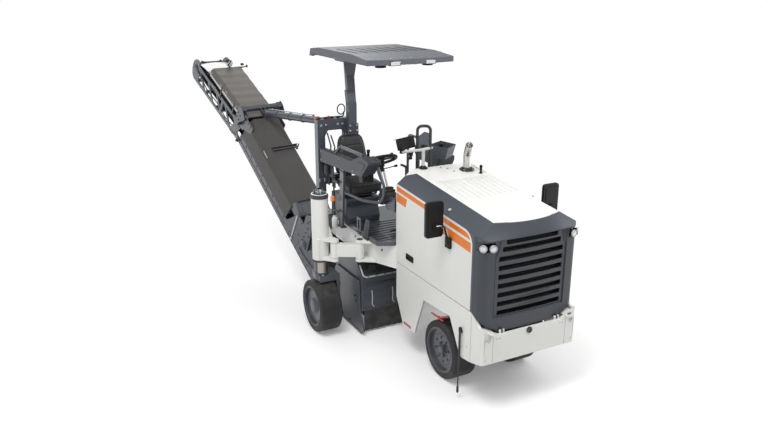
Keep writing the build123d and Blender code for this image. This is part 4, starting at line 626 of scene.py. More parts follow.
finish("ram_worn", (0.34, 0.31, 0.28), 0.30, metallic=0.9, tone=(0.25, 5.0), brushed=(240.0, 240.0, 14.0),
    grain=(0, 0, 0.03))
finish("pale_rubber", (0.12, 0.125, 0.13), 0.5, grain=(900.0, 0.3, 0.05), tone=(0.2, 6.0), wear=0.2)
finish("nickel_pipe", (0.60, 0.585, 0.55), 0.26, metallic=1.0, tone=(0.06, 5.0), brushed=(300.0, 300.0, 40.0),
    grain=(0, 0, 0.012))
finish("wheel_rubber", (0.016, 0.016, 0.0165), 0.72, grain=(420.0, 0.6, 0.25), tone=(0.35, 6.0), dust=0.30,
    reach=0.35)
finish("sheet_rubber", (0.020, 0.020, 0.021), 0.66, grain=(300.0, 0.3, 0.2), tone=(0.3, 5.0), dust=0.25,
    reach=0.5)
finish("belt_rubber", (0.019, 0.0185, 0.018), 0.62, grain=(500.0, 0.8, 0.25), tone=(0.3, 4.0))
finish("taupe_cover", (0.118, 0.108, 0.098), 0.60, grain=(900.0, 0.5, 0.12), tone=(0.12, 3.0), wear=0.1)
finish("dark_tarp", (0.060, 0.056, 0.053), 0.70, grain=(1300.0, 0.9, 0.25), tone=(0.2, 3.0), sheen=0.2)
finish("light_plate", (0.52, 0.52, 0.51), 0.38, coat=0.15, grain=(700.0, 0.0, 0.02), tone=(0.06, 3.0), wear=0.2)
finish("red_paint", (0.52, 0.022, 0.018), 0.35, coat=0.3, grain=(800.0, 0.0, 0.01), tone=(0.08, 6.0))
finish("red_lens", (0.42, 0.012, 0.010), 0.12, coat=0.8, grain=(700.0, 1.0, 0.2), tone=(0.1, 20.0))
finish("amber_lens", (0.80, 0.24, 0.012), 0.12, coat=0.8, grain=(600.0, 1.0, 0.3), tone=(0.1, 20.0),
    emission=(0.9, 0.25, 0.01, 0.12))
finish("lamp_lens", (0.62, 0.63, 0.66), 0.10, metallic=0.25, coat=0.8, grain=(420.0, 1.0, 0.5), tone=(0.15, 30.0))
finish("mirror_glass", (0.55, 0.57, 0.60), 0.03, metallic=1.0, grain=(100.0, 0.0, 0.0), tone=(0.02, 3.0),
    rough_swing=0.02)
finish("screen_glass", (0.010, 0.012, 0.014), 0.08, coat=0.6, grain=(100.0, 0.0, 0.0), tone=(0.1, 3.0),
    rough_swing=0.04)
finish("seat_vinyl", (0.016, 0.0165, 0.018), 0.50, grain=(900.0, 1.0, 0.30), tone=(0.25, 5.0), sheen=0.15)
finish("carbide", (0.30, 0.29, 0.27), 0.38, metallic=0.9, grain=(500.0, 0.3, 0.15), tone=(0.3, 15.0), wear=0.5)
finish("drum_steel", (0.085, 0.082, 0.078), 0.50, metallic=0.7, grain=(300.0, 0.4, 0.25), tone=(0.35, 6.0),
    wear=0.7, dust=0.3, reach=0.7)
finish("dark_core", (0.020, 0.017, 0.015), 0.75, grain=(700.0, 0.0, 0.1), tone=(0.3, 6.0))
finish("hose_rubber", (0.014, 0.014, 0.015), 0.48, grain=(1600.0, 0.5, 0.1), tone=(0.2, 10.0))


# ---------------------------------------------------------------- the CAD nodes with eased edges and finishes
FLOOR_Z = 1112.5              # top of the platform's floor
DECK_LOW_Z = 834.0            # lower edge of the frame's white deck
COLUMN_X = -665.0             # the two rear lifting columns and their wheels
COLUMN_Y = {"right": -1062.0, "left": 535.0}
RAM_RADIUS = 72.0
YOKE_TOP = 652.0              # top of the yoke that the ram ends in
WHEEL_Z = 285.0               # height of the four axles
FRONT_WHEEL = (812.0, 359.0)
SWING_PINS = ((-380.0, -740.0), (-512.0, -968.0))     # the swing arm's pin on the deck and its eye at the column
DRUM = (-675.0, 345.0)        # x and z of the drum's axle
EASED = {
    "main_frame": ("slate_paint", "paint_slate", 2.0), "side_skirts": ("white_paint", "paint_white", 3.0),
    "front_bumper": ("white_paint", "paint_white", 3.5), "engine_block": ("black_steel", "steel_dark", 6.0),
    "engine_cowl": ("white_paint", "paint_white", 2.0), "exhaust_pipe": ("nickel_pipe", "steel_bright", 1.0),
    "platform": ("slate_paint", "paint_slate", 1.5),
    "console_left": ("slate_plastic", "paint_slate", 6.0),
    "access_steps": ("slate_paint", "paint_slate", 1.5), "mast_portal": ("slate_paint", "paint_slate", 2.5),
    "canopy_mast": ("slate_paint", "paint_slate", 2.5), "canopy_roof": ("canopy_shell", "paint_slate", 4.0),
    "drum_housing": ("slate_paint", "paint_slate", 2.0),
    "front_axle": ("slate_paint", "paint_slate", 3.0), "column_left": ("white_paint", "paint_white", 2.0),
    "pointer_rod": ("black_steel", "steel_dark", 0.6), "hood_shell": ("hood_paint", "paint_white", 1.6),
    "hood_grille": ("slate_plastic", "paint_slate", 4.0), "head_lamps": ("black_plastic", "lamp_glass", 1.5),
    "mirrors": ("black_plastic", "plastic_black", 3.0), "steering_wheel": ("black_plastic", "plastic_black", 1.5),
    "milling_drum": ("drum_steel", "steel_dark", 1.0), "edge_protector_right": ("slate_paint", "paint_slate", 2.0),
    "edge_protector_left": ("slate_paint", "paint_slate", 2.0), "scraper_door": ("slate_paint", "paint_slate", 2.0),
    "knuckle_right": ("slate_paint", "paint_slate", 2.5), "knuckle_left": ("slate_paint", "paint_slate", 2.5),
    "swing_arm": ("white_paint", "paint_white", 3.0), "column_right": ("white_paint", "paint_white", 2.0),
    "leg_right": ("slate_paint", "paint_slate", 2.5), "leg_left": ("slate_paint", "paint_slate", 2.5),
    "slew_bracket": ("slate_paint", "paint_slate", 2.5), "conveyor_frame": ("slate_paint", "paint_slate", 1.5),
    "conveyor_belt": ("belt_rubber", "rubber", 1.5),
    "lift_barrel": ("slate_paint", "paint_slate", 1.5), "lift_rod": ("ram_chrome", "steel_bright", 1.0),
}
for corner in ("front_right", "front_left", "rear_right", "rear_left"):
    EASED["tyre_" + corner] = ("wheel_rubber", "tyre_rubber", 0.0)
    EASED["rim_" + corner] = ("slate_paint", "paint_slate", 1.5)


def deck_side(middle, corners):
    """Faces of the machine frame's white deck, behind the hood and above the drum housing."""
    return corners[:, 2].min() > DECK_LOW_Z - 6 and corners[:, 0].max() < 10


def ram_tube(middle, corners):
    """Faces of a leg's round ram: both they and their corners keep to the tube's radius, above the yoke."""
    across = np.minimum(*(np.abs(corners[:, 1] - y) for y in COLUMN_Y.values()))
    return corners[:, 2].min() > YOKE_TOP - 30 and np.hypot(corners[:, 0] - COLUMN_X,
        across).max() < RAM_RADIUS + 12


ZONES = {"main_frame": (("white_paint", deck_side),), "leg_right": (("ram_worn", ram_tube),),
    "leg_left": (("ram_worn", ram_tube),)}


# ----------------------------------------------------- conveyor: u along the belt, v to the right, w square to it
CONVEYOR_LIFT = 40.8          # degrees of the lower half
CONVEYOR_BEND = 10.4          # the upper half lies flatter by this
FOLD_U = 1831.0
RAIL_W = -278.0
CONVEYOR_HALF = 230.0
YOKE_HALF = 290.0
UPPER_COVER = (-73.0, 984.0)  # the upper cover's ends, and the height of its top over the rails
UPPER_COVER_TOP = 441.0
LOWER_COVER = (481.0, 1788.0)
LOWER_COVER_TOP, LOWER_COVER_FOOT = 187.0, -127.0
HEAD_SHAFT = (1372.0, 170.0)  # the head pulley's shaft
FOOT_SHAFT = (-360.0, -108.0)
BELT_RISE = 170.0
PIVOT = datum(JOINTS["conveyor_luff"]["pos_m"])
RIGHT = -unit(JOINTS["conveyor_luff"]["axis"])
HEADING = np.cross(RIGHT, (0, 0, -1.0))
HEADING = HEADING if HEADING[0] < 0 else -HEADING


def conveyor_axes(lift):
    """Along the belt, to the right and square to the belt, for a lift in degrees."""
    along = HEADING * cos(radians(lift)) + np.array([0, 0, sin(radians(lift))])
    square = HEADING * -sin(radians(lift)) + np.array([0, 0, cos(radians(lift))])
    return np.stack([along, RIGHT, square])


LOWER_AXES = conveyor_axes(CONVEYOR_LIFT)
UPPER_AXES = conveyor_axes(CONVEYOR_LIFT - CONVEYOR_BEND)
BEND = PIVOT + np.array([FOLD_U, 0, RAIL_W]) @ LOWER_AXES


def on_lower(*meshes):
    """Surfaces drawn as (u, v, w) of the lower half, set in the datum."""
    points, faces = joined(*meshes)
    return points @ LOWER_AXES + PIVOT, faces


def on_upper(*meshes):
    """Surfaces drawn as (s, v, t) of the upper half, set in the datum."""
    points, faces = joined(*meshes)
    return points @ UPPER_AXES + BEND, faces


def sheet_shell(outline, thick, stations, lift=None):
    """A bent sheet carried along x: an open (v, w) outline, its copy moved inwards by the thickness, and closed edges.

    lift(x, v, w) gives a small outward move of each outer point in millimetres.
    """
    outline = np.asarray(outline, float)
    tangent = unit(np.gradient(outline, axis=0))
    normal = np.stack([-tangent[:, 1], tangent[:, 0]], 1)
    stations = np.asarray(stations, float)
    x = np.repeat(stations[:, None], len(outline), 1)
    out = np.zeros_like(x) if lift is None else lift(x, outline[None, :, 0], outline[None, :, 1])
    layers = []
    for depth in (0.0, thick):
        place = outline[None] + normal[None] * (out - depth)[..., None]
        layers.append(np.concatenate([x[..., None], place], 2))
    loop = np.concatenate([layers[0], layers[1][:, ::-1]], 1)
    rows, columns = loop.shape[:2]
    faces = grid_faces(rows, columns, False, True)
    half = len(outline)
    for row in (0, rows - 1):
        for i in range(half - 1):
            a, b = row * columns + i, row * columns + i + 1
            c, d = row * columns + columns - 2 - i, row * columns + columns - 1 - i
            faces.append([a, b, c, d])
    return loop.reshape(-1, 3), faces


def open_rounded(points, radius, steps=6):
    """An open outline with rounded inner corners."""
    flat = np.asarray(points, float)
    path = bent(np.concatenate([flat, np.zeros((len(flat), 1))], 1), radius, steps)
    return path[:, :2]


def conveyor_covers():
    """Soft upper cover, ridged lower cover, hood over the foot, light strips with their bolts and brackets."""
    half = CONVEYOR_HALF - 2.0

    def soft_waves(x, v, w):
        """Long soft folds across the cover: products of slow sines along and across."""
        fold = np.sin(x * 0.021 + v * 0.012) * np.sin(x * 0.0083 + 1.2) + 0.6 * np.sin(x * 0.043 - v * 0.02 +
            w * 0.03)
        return -2.2 - 2.2 * fold * np.clip((w - 270) / 90, 0, 1)

    outline = open_rounded([(half - 3, 376), (half - 3, 410), (half - 34, UPPER_COVER_TOP),
        (34 - half, UPPER_COVER_TOP), (3 - half, 410), (3 - half, 376)], 14)
    piece("conveyor_cover_upper", "conveyor", [("taupe_cover", on_upper(sheet_shell(
        outline, 6.0, np.linspace(*UPPER_COVER, 90), soft_waves)))])

    def ridges(x, v, w):
        """Lengthwise ridges: raised bands where the distance across passes each line."""
        lines = sum(np.exp(-((np.abs(v) - line) / 7.0) ** 2) for line in (60.0, 118.0))
        return -4.5 + 3.6 * lines * np.clip((w - 150) / 30, 0, 1) + 0.5 * np.sin(x * 0.011 + v * 0.01)

    across = np.linspace(half - 64, 64 - half, 70)
    top = np.stack([across, np.full(70, LOWER_COVER_TOP)], 1)
    outline = np.concatenate([open_rounded([(half - 1, LOWER_COVER_FOOT), (half - 1, 108),
        (half - 62, LOWER_COVER_TOP), (half - 66, LOWER_COVER_TOP)], 30), top[1:-1],
        open_rounded([(66 - half, LOWER_COVER_TOP), (62 - half, LOWER_COVER_TOP), (1 - half, 108),
        (1 - half, LOWER_COVER_FOOT)], 30)])
    lower = sheet_shell(outline, 6.0, np.linspace(*LOWER_COVER, 60), ridges)
    wedge = [(480, 60), (488, 150), (486, 180), (440, 192), (300, 150), (292, 140), (292, 60)]
    hood = joined(prism("y", rounded(wedge, 8, 3), -half + 6, half - 6),
        prism("x", [(half - 3, -60), (half - 3, 106), (half - 63, 184), (63 - half, 184), (3 - half, 106),
        (3 - half, -60)], 483, 490))
    ribs = [swept(rectangle(-3, 3, 0, 7), [(318, v, 154), (436, v, 190)], (0, 1, 0), (0, 0, 1))
        for v in (-150, -50, 50, 150)]
    piece("conveyor_cover_lower", "conveyor", [("dark_tarp", on_lower(lower))],
        replaces=("conveyor_covers",))
    piece("conveyor_foot_hood", "conveyor", [("slate_paint", on_lower(hood, *ribs))], bevel=2.0)

    strips, brackets, bolts = [], [], []
    for side in (-1, 1):
        y0, y1 = side * (half - 0.5), side * (half + 2.5)
        for s0, s1 in ((-68, 262), (282, 618), (638, 980)):
            strips.append(block(s0, s1, y0, y1, 338, 414))
            for s in (s0 + 30, s1 - 30):
                bolts.append(bolt((s, side * (half + 2.5), 396), (0, side, 0), 5, 4))
        y0, y1 = side * (half + 1), side * (half + 9)
        for s in (272, 628):
            brackets.append(prism("y", [(s - 12, 240), (s + 12, 240), (s + 12, 380), (s + 4, 416), (s - 4, 416),
                (s - 12, 380)], y0, y1))
            brackets.append(rod((s, side * (half + 5), 396), (s + 6, side * (half - 30), 446), 5, 12))
    piece("cover_strips", "conveyor", [("light_plate", on_upper(*strips)), ("zinc", on_upper(*bolts)),
        ("black_steel", on_upper(*brackets))], bevel=0.8, segments=1)


def conveyor_head():
    """Bearing hubs and belt tensioners of the head, the light plate over the discharge, and the work lamp."""
    rim = CONVEYOR_HALF
    fittings, caps = [], []
    for side in (-1, 1):
        face = side * rim
        hub = turned([(0, 58), (3, 62), (8, 62), (11, 56), (11, 34), (13, 34), (16, 30), (16, 0.1)],
            (HEAD_SHAFT[0], face, HEAD_SHAFT[1]), (0, side, 0), 40)
        caps.append(hub)
        for n in range(8):
            a = n * pi / 4 + 0.3
            fittings.append(bolt((HEAD_SHAFT[0] + 47 * cos(a), face + side * 11, HEAD_SHAFT[1] + 47 * sin(a)),
                (0, side, 0), 5.5, 5))
        for s, t in ((1312, 40), (1312, 290), (1404, 74), (1404, 262), (1372, 306), (1372, 24)):
            fittings.append(bolt((s, face, t), (0, side, 0), 6, 5))
        tension = prism("y", rectangle(1296, 1360, 136, 204, 8, 3), face, face + side * 7)
        caps.append(tension)
        caps.append(rod((1180, face + side * 9, 170), (1300, face + side * 9, 170), 7, 12))
        for s in (1196, 1210):
            fittings.append(moved(bolt((s, 0, 0), (1, 0, 0), 11, 9), (0, face + side * 9, 170)))
        caps.append(block(1168, 1178, face - side * 2, face + side * 18, 150, 190))
    piece("conveyor_head_fittings", "conveyor",
        [("slate_paint", on_upper(*caps)), ("zinc", on_upper(*fittings))], bevel=1.0, segments=1)

    s = np.linspace(1004, 1330, 26)
    arch = 330 - 60 * ((s - 1004) / 326) ** 1.6
    v = np.linspace(-206, 206, 13)
    over, across = np.meshgrid(np.arange(26), v, indexing="ij")
    plate = layered(np.stack([s[over], across, arch[over] + 16 * (1 - (across / 206) ** 2)], 2), (0, 0, -5.0))
    supports = [rod((1060, side * 204, 345), (1060, side * 222, 300), 7, 10) for side in (-1, 1)]
    piece("discharge_plate", "conveyor", [("light_plate", on_upper(plate)),
        ("slate_paint", on_upper(*supports))], bevel=1.0, segments=1)

    spot, aim = np.array((1010.0, -52.0, 486.0)), unit((0.62, 0.70, 0.34))
    lamp = [turned([(-34, 14), (-30, 30), (-6, 44), (6, 46)], spot, aim, 32)]
    lens = [turned([(0, 40.5), (4, 36), (8, 22), (9, 0.1)], spot + aim * 17, aim, 32)]
    holder = [turned([(5, 44), (5, 49), (19, 49), (19, 40)], spot, aim, 32),
        block(1002, 1018, -60, -44, 424, 452), block(960, 978, -236, -150, 440, 452),
        rod((968, -236, 446), (968, -290, 456), 7, 12), block(956, 984, -300, -284, 442, 472),
        block(1000, 1030, -262, -224, 448, 470)]
    piece("head_light", "conveyor", [("light_plate", on_upper(*lamp)), ("lamp_lens", on_upper(*lens)),
        ("black_plastic", on_upper(*holder))], bevel=1.0, segments=1)


def conveyor_yoke():
    """Gusset plates and bolts of the yoke, and the channel with its hook and slotted plate across the lower cover."""
    rim = CONVEYOR_HALF
    knobs, plates = [], []
    for side in (-1, 1):
        y = side * (rim + 12)
        for u, w in ((1990, -270), (2040, -286), (1900, -60), (1880, 20), (1700, 120), (1700, 160), (1860, 140),
                (1760, 150)):
            knobs.append(bolt((u, y, w), (0, side, 0), 7, 6))
        knobs.append(turned([(0, 24), (10, 24), (14, 20), (14, 12), (30, 12), (32, 9)], (1831, y, -250),
            (0, side, 0), 24))
        out = (side * YOKE_HALF, side * (YOKE_HALF + 10))
        plates.append(prism("y", rounded([(1880, 60), (1985, 60), (1985, 268), (1905, 268), (1800, 214),
            (1800, 186)], 12, 3), *out))
        for u, w in ((1900, 90), (1960, 90), (1960, 160), (1900, 160)):
            knobs.append(bolt((u, side * (YOKE_HALF + 10), w), (0, side, 0), 8, 7))
    piece("yoke_plates", "conveyor", [("slate_paint", on_lower(*plates)), ("black_steel", on_lower(*knobs))],
        bevel=1.5, segments=2)

    channel = [block(1256, 1304, -226, 150, 190, 196), block(1256, 1262, -226, 150, 190, 224),
        block(1298, 1304, -226, 150, 190, 224)]
    hooks = [rod((1280, -232, 150), (1280, -232, 240), 8, 12), block(1262, 1298, -244, -222, 146, 162)]
    frame_plate = [moved(joined(block(1220, 1330, 150, 160, 0, 7), block(1220, 1330, 222, 232, 0, 7),
        block(1220, 1230, 150, 232, 0, 7), block(1320, 1330, 150, 232, 0, 7), block(1230, 1320, 186, 194, 0, 5)),
        (0, 8, 176), rotation((1, 0, 0), -38), (1275, 150, 0))]
    piece("cover_bracket", "conveyor", [("slate_paint", on_lower(*channel)), ("black_steel", on_lower(*hooks)),
        ("light_plate", on_lower(*frame_plate))], bevel=1.2, segments=2)


def conveyor_sides():
    """Pale bars, bearing caps, rims, straps and bolts on the lower half's side plates."""
    rim = CONVEYOR_HALF
    pale, dark, small = [], [], []
    for side in (-1, 1):
        y = side * rim
        pale.append(moved(block(-11, 11, y, y + side * 9, -196, 132), (298, 0, 0), rotation((0, 1, 0), 14)))
        pale.append(block(226, 262, y, y + side * 12, -262, -222))
        for u in np.arange(-380, 321, 100):
            for w in (-250, -196, 122):
                small.append(bolt((u, y, w), (0, side, 0), 7, 6))
        for u, w in ((-330, -40), (-230, 40), (-180, -110), (120, -140), (180, -60), (160, 60), (-300, 80)):
            dark.append(turned([(0, 13), (4, 13), (5, 10), (5, 0.1)], (u, y, w), (0, side, 0), 20))
        cap = turned([(0, 70), (5, 74), (16, 74), (20, 68), (20, 30), (30, 26), (30, 0.1)],
            (FOOT_SHAFT[0], y, FOOT_SHAFT[1]), (0, side, 0), 36)
        dark.append(cap)
        dark.append(prism("y", rounded([(-300, -150), (-60, -190), (60, -190), (60, -168), (-50, -166),
            (-290, -120)], 6, 3), y, y + side * 10))
        for u in range(520, 1801, 160):
            small.append(bolt((u, y, -150), (0, side, 0), 5, 4))
            dark.append(block(u - 9, u + 9, y, y + side * 4, -262, -164))
        dark.append(block(455, 1800, y, y + side * 5, -228, -216))
    piece("conveyor_side_fittings", "conveyor",
        [("slate_paint", on_lower(*dark)), ("light_plate", on_lower(*pale)), ("black_steel", on_lower(*small))],
        bevel=1.0, segments=1)


def belt_and_rollers():
    """V-shaped cleats on the belt, return rollers with their stays, and hoses clamped in the upper half's lattice."""
    cleats, rolls, stays = [], [], []
    for upper, low, high in ((False, -300, 1780), (True, 40, 1340)):
        place = on_upper if upper else on_lower
        middle = BELT_RISE if upper else RAIL_W + BELT_RISE
        for u in np.arange(low, high, 210.0):
            for level, sign in ((middle + 90, 1), (middle - 90, -1)):
                for side in (-1, 1):
                    z0, z1 = level - sign * 1, level + sign * 12
                    v_shape = [(u, 0), (u + 22, 0), (u + 22 + 92, side * 150), (u + 92, side * 150)]
                    cleats.append(place(swept(v_shape, [(0, 0, z0), (0, 0, z1)], (1, 0, 0), (0, 1, 0))))
        for u in np.arange(low + 120, high, 420.0):
            rolls.append(place(rod((u, -200, middle - 118), (u, 200, middle - 118), 22, 20)))
            stays.append(place(joined(*[block(u - 26, u + 26, side * 204, side * 217, middle - 140,
                middle - 90) for side in (-1, 1)])))
    piece("belt_cleats", "conveyor", [("belt_rubber", cleats)])
    piece("return_rollers", "conveyor", [("grey_steel", rolls), ("slate_paint", stays)], bevel=0.8,
          segments=1)

    lines = []
    for points in ([(60, 222, 196), (400, 222, 190), (640, 222, 232), (1050, 222, 150), (1300, 222, 186)],
            [(-20, 224, 60), (180, 224, 96), (420, 224, 66), (700, 224, 110), (980, 224, 84), (1240, 224, 150)]):
        path = np.asarray(points, float)
        fine = np.linspace(0, len(path) - 1, 60)
        whole = np.clip(fine.astype(int), 0, len(path) - 2)
        share = (fine - whole)[:, None]
        share = share * share * (3 - 2 * share)
        lines.append(tube(path[whole] * (1 - share) + path[whole + 1] * share, 6.5, 10))
    piece("lattice_hoses", "conveyor", [("hose_rubber", on_upper(*lines))])


def slew_and_lift_pieces():
    """Bolts and caps on the slewing bracket, and the pipe, gland and clamps on the lift cylinder's barrel."""
    level = np.stack([HEADING, RIGHT, (0, 0, 1.0)])
    axle = datum(JOINTS["conveyor_slew"]["pos_m"])
    place = lambda *meshes: (lambda m: (m[0] @ level + np.array([axle[0], axle[1], 0.0]), m[1]))(joined(*meshes))
    heads, caps = [], []
    for side in (-1, 1):
        y = side * 262.0
        for x, z in ((70, 960), (110, 930), (120, 860), (170, 800), (210, 735), (250, 690), (160, 660),
                (110, 760), (262, 600), (190, 590)):
            heads.append(bolt((x, y, z), (0, side, 0), 9, 7))
        caps.append(turned([(0, 46), (8, 46), (12, 40), (12, 30), (22, 28), (24, 24), (24, 0.1)],
            (216, side * 274 - side * 12, 638), (0, side, 0), 32))
    for x in (34, 96):
        for y in (-160, -60, 60, 160):
            heads.append(bolt((x, y, 1006), (0, 0, 1), 9, 7))
    caps.append(turned([(0, 44), (10, 44), (16, 38), (16, 0.1)], (0, 0, 1030), (0, 0, 1), 32))
    piece("slew_fittings", "slew_bracket", [("black_steel", place(*heads)), ("slate_paint", place(*caps))],
        bevel=0.8, segments=1)

    eye = datum(JOINTS["lift_barrel_swing"]["pos_m"])
    anchor = np.array([axle[0], axle[1], 2110.0])
    line = unit(anchor - eye)
    up = unit(np.cross(RIGHT, line))
    up = up if up[2] > 0 else -up
    spot = lambda along, side=0.0, rise=0.0: eye + line * along - RIGHT * side + up * rise
    pipe_path = bent([spot(120, 0, 40), spot(120, 0, 58), spot(1130, 0, 58), spot(1130, 0, 40)], 14)
    clamps = [disc(spot(a), line, 49, 22, 32, 3) for a in (330, 620, 910)]
    gland = [turned([(0, 42.5), (3, 47), (44, 47), (48, 44), (60, 30), (62, 24)], spot(1180), line, 40),
             turned([(0, 42.5), (4, 47), (26, 47), (30, 42.5)], spot(70), line, 40)]
    ports = [turned([(0, 14), (14, 14), (16, 11), (26, 11)], spot(a, 0, 38), up, 12) for a in (120, 1130)]
    ports += [bolt(spot(a, 0, 44), up, 6, 6) for a in (330, 620, 910)]
    piece("lift_barrel_fittings", "lift_barrel",
        [("zinc", tube(pipe_path, 7.5, 14)), ("slate_paint", joined(*clamps, *gland)), ("grey_steel", ports)],
        bevel=0.8, segments=1)


for build in (conveyor_covers, conveyor_head, conveyor_yoke, conveyor_sides, belt_and_rollers,
        slew_and_lift_pieces):
    build()


# ---------------------------------------------------------------- hood, nose, bumper
HOOD_HALF = 510.0
HOOD_LENGTH = 1355.0
NOSE_FACE, NOSE_BULGE, NOSE_CORNER = 1482.0, 26.0, 78.0
BROW_LOW_Z, BROW_HIGH_Z = 1580.0, 1712.0
ROOF_Z, ROOF_FALL = 1852.0, 0.10037           # the roof's height at the hood's rear edge, and its fall per millimetre
BROW_GAP = 1.2                                # the brow lies this far proud of the solid's face
MIRROR = (920.0, 642.0, 1648.0)
EXHAUST = (172.0, 192.0)
BUMPER_FACE = HOOD_LENGTH + 183.0
LAMPS_AT = ((108.0, 486.0, 45.0), (142.0, 424.0, 12.0))     # ahead of the hood's sides, off centre, turned outwards by
SCREEN_Y, SCREEN_Z = 352.0, (862.0, 1592.0)   # the dark screen behind the nose's slots


def roof_z(x, y):
    """Height of the hood's roof and shoulders: a plane falling forwards, folded down outside its flat middle."""
    return ROOF_Z - ROOF_FALL * x - (0.75 - 0.00011 * x) * np.maximum(np.abs(y) - ROOF_EDGE_Y, 0.0)


def face_x(y):
    """Plan of the front face: a flat arch with round corners."""
    over = np.maximum(np.abs(y) - (HOOD_HALF - NOSE_CORNER), 0.0)
    arch = NOSE_FACE + NOSE_BULGE * (1 - (np.minimum(np.abs(y), HOOD_HALF - NOSE_CORNER) / HOOD_HALF) ** 2)
    return arch - NOSE_CORNER + np.sqrt(np.maximum(NOSE_CORNER ** 2 - over ** 2, 0.0))


def brow():
    """Band and front of the roof: rows rise from the arched face to the roof's front edge, then run back on it."""
    y = HOOD_HALF * np.sin(np.linspace(-pi / 2, pi / 2, 73)) * 0.9995
    low_x = NOSE_FACE + 3 + NOSE_BULGE * (1 - (y / HOOD_HALF) ** 2)
    high_x = ROOF_FRONT[0] - ROOF_FRONT[1] * y * y
    lean = (high_x - low_x) / (BROW_HIGH_Z - BROW_LOW_Z)
    plane_x = lambda z: low_x + lean * (z - BROW_LOW_Z)
    top = np.full_like(y, 1690.0)
    for _ in range(30):
        top = 0.5 * top + 0.5 * roof_z(np.minimum(plane_x(top), face_x(y)), y)
    rows = []
    for share in np.linspace(0, 1, 8):
        z = 1584 + (top - 1584) * share
        rows.append(np.stack([np.minimum(plane_x(z), face_x(y)) + BROW_GAP, y * 1.0015, z + 0.8], 1))
    front = rows[-1][:, 0]
    for share in (0.06, 0.3, 0.65, 1.0):
        x = front + (1353.5 - front) * share
        rows.append(np.stack([x, y * 1.0015, roof_z(x, y) + 0.8], 1))
    return layered(np.stack(rows), (-5.0, 0.0, -6.0))


def nose_pieces():
    """Brow, screen behind the slots, lamp glasses and rims, lips of the lamp recesses and of the slots' field."""
    piece("nose_brow", "hood", [("hood_paint", brow())], bevel=5.0, segments=3, angle=24)

    fins, bars = [], []
    for y in np.arange(-SCREEN_Y, SCREEN_Y + 1, 11.0):
        fins.append(block(1426, 1436, y - 1.4, y + 1.4, 876, 1586))
    for z in np.arange(884.0, 1586.0, 26.0):
        bars.append(rod((1431, -SCREEN_Y, z), (1431, SCREEN_Y, z), 4.5, 8))
    plate = [block(1405, 1420, -386, 386, *SCREEN_Z), block(1420, 1440, -386, -354, *SCREEN_Z),
             block(1420, 1440, 354, 386, *SCREEN_Z), block(1420, 1440, -354, 354, SCREEN_Z[0], SCREEN_Z[0] + 16)]
    piece("nose_screen", "hood", [("dark_core", joined(*fins, *bars)), ("black_steel", plate)])

    bezels, glasses, cans, lips = [], [], [], []
    for side in (-1, 1):
        for x, y, turn in LAMPS_AT:
            ahead = np.array((cos(radians(turn)), side * sin(radians(turn)), 0.0))
            front = np.array((HOOD_LENGTH + x, side * y, 1532.0)) + ahead * 21
            bezels.append(turned([(-6, 28), (-4, 33), (4, 34), (8, 33), (9, 30), (5, 29)], front, ahead, 40,
                ring=True))
            glasses.append(turned([(3, 30), (8, 24), (11, 14), (12, 0.1)], front, ahead, 40))
            cans.append(turned([(-40, 14), (-38, 21), (-20, 27.5), (-3, 29)], front, ahead, 32))
            cans.append(block(front[0] - 16, front[0] - 6, front[1] - 4, front[1] + 4, 1494, 1506))
        rim = [(1477, 387, 1574), (1478, 386, 1512), (1474, 402, 1491), (1466, 440, 1486), (1452, 474, 1486),
            (1424, 502, 1487)]
        path = bent([(x + 19 - 8 * (abs(y) > 430) - 7 * (abs(y) > 460), side * y, z) for x, y, z in rim], 14)
        lips.append(tube(path, 5.0, 10))
    piece("lamp_glasses", "hood", [("lamp_lens", glasses), ("light_plate", bezels), ("black_plastic", cans)])
    piece("lamp_recess_lips", "hood", [("slate_plastic", lips)])

    # thin lip round the recessed field of slots
    y = np.linspace(-378, 378, 31)
    ring = [(face_x(v) + 0.5, v, 884) for v in y] + [(face_x(v) + 0.5, v, z)
        for v, z in ((378, 1000), (378, 1450), (350, 1480))]
    ring += [(face_x(v) + 0.5, v, z) for v, z in ((334, 1560), (322, 1584))]
    ring += [(face_x(v) + 0.5, v, 1586) for v in np.linspace(310, -310, 25)]
    ring += [(face_x(-v) + 0.5, -v, z) for v, z in ((322, 1584), (334, 1560), (350, 1480), (378, 1450),
        (378, 1000), (378, 886))]
    piece("slot_field_lip", "hood", [("slate_plastic", tube(np.array(ring), 3.6, 8))])


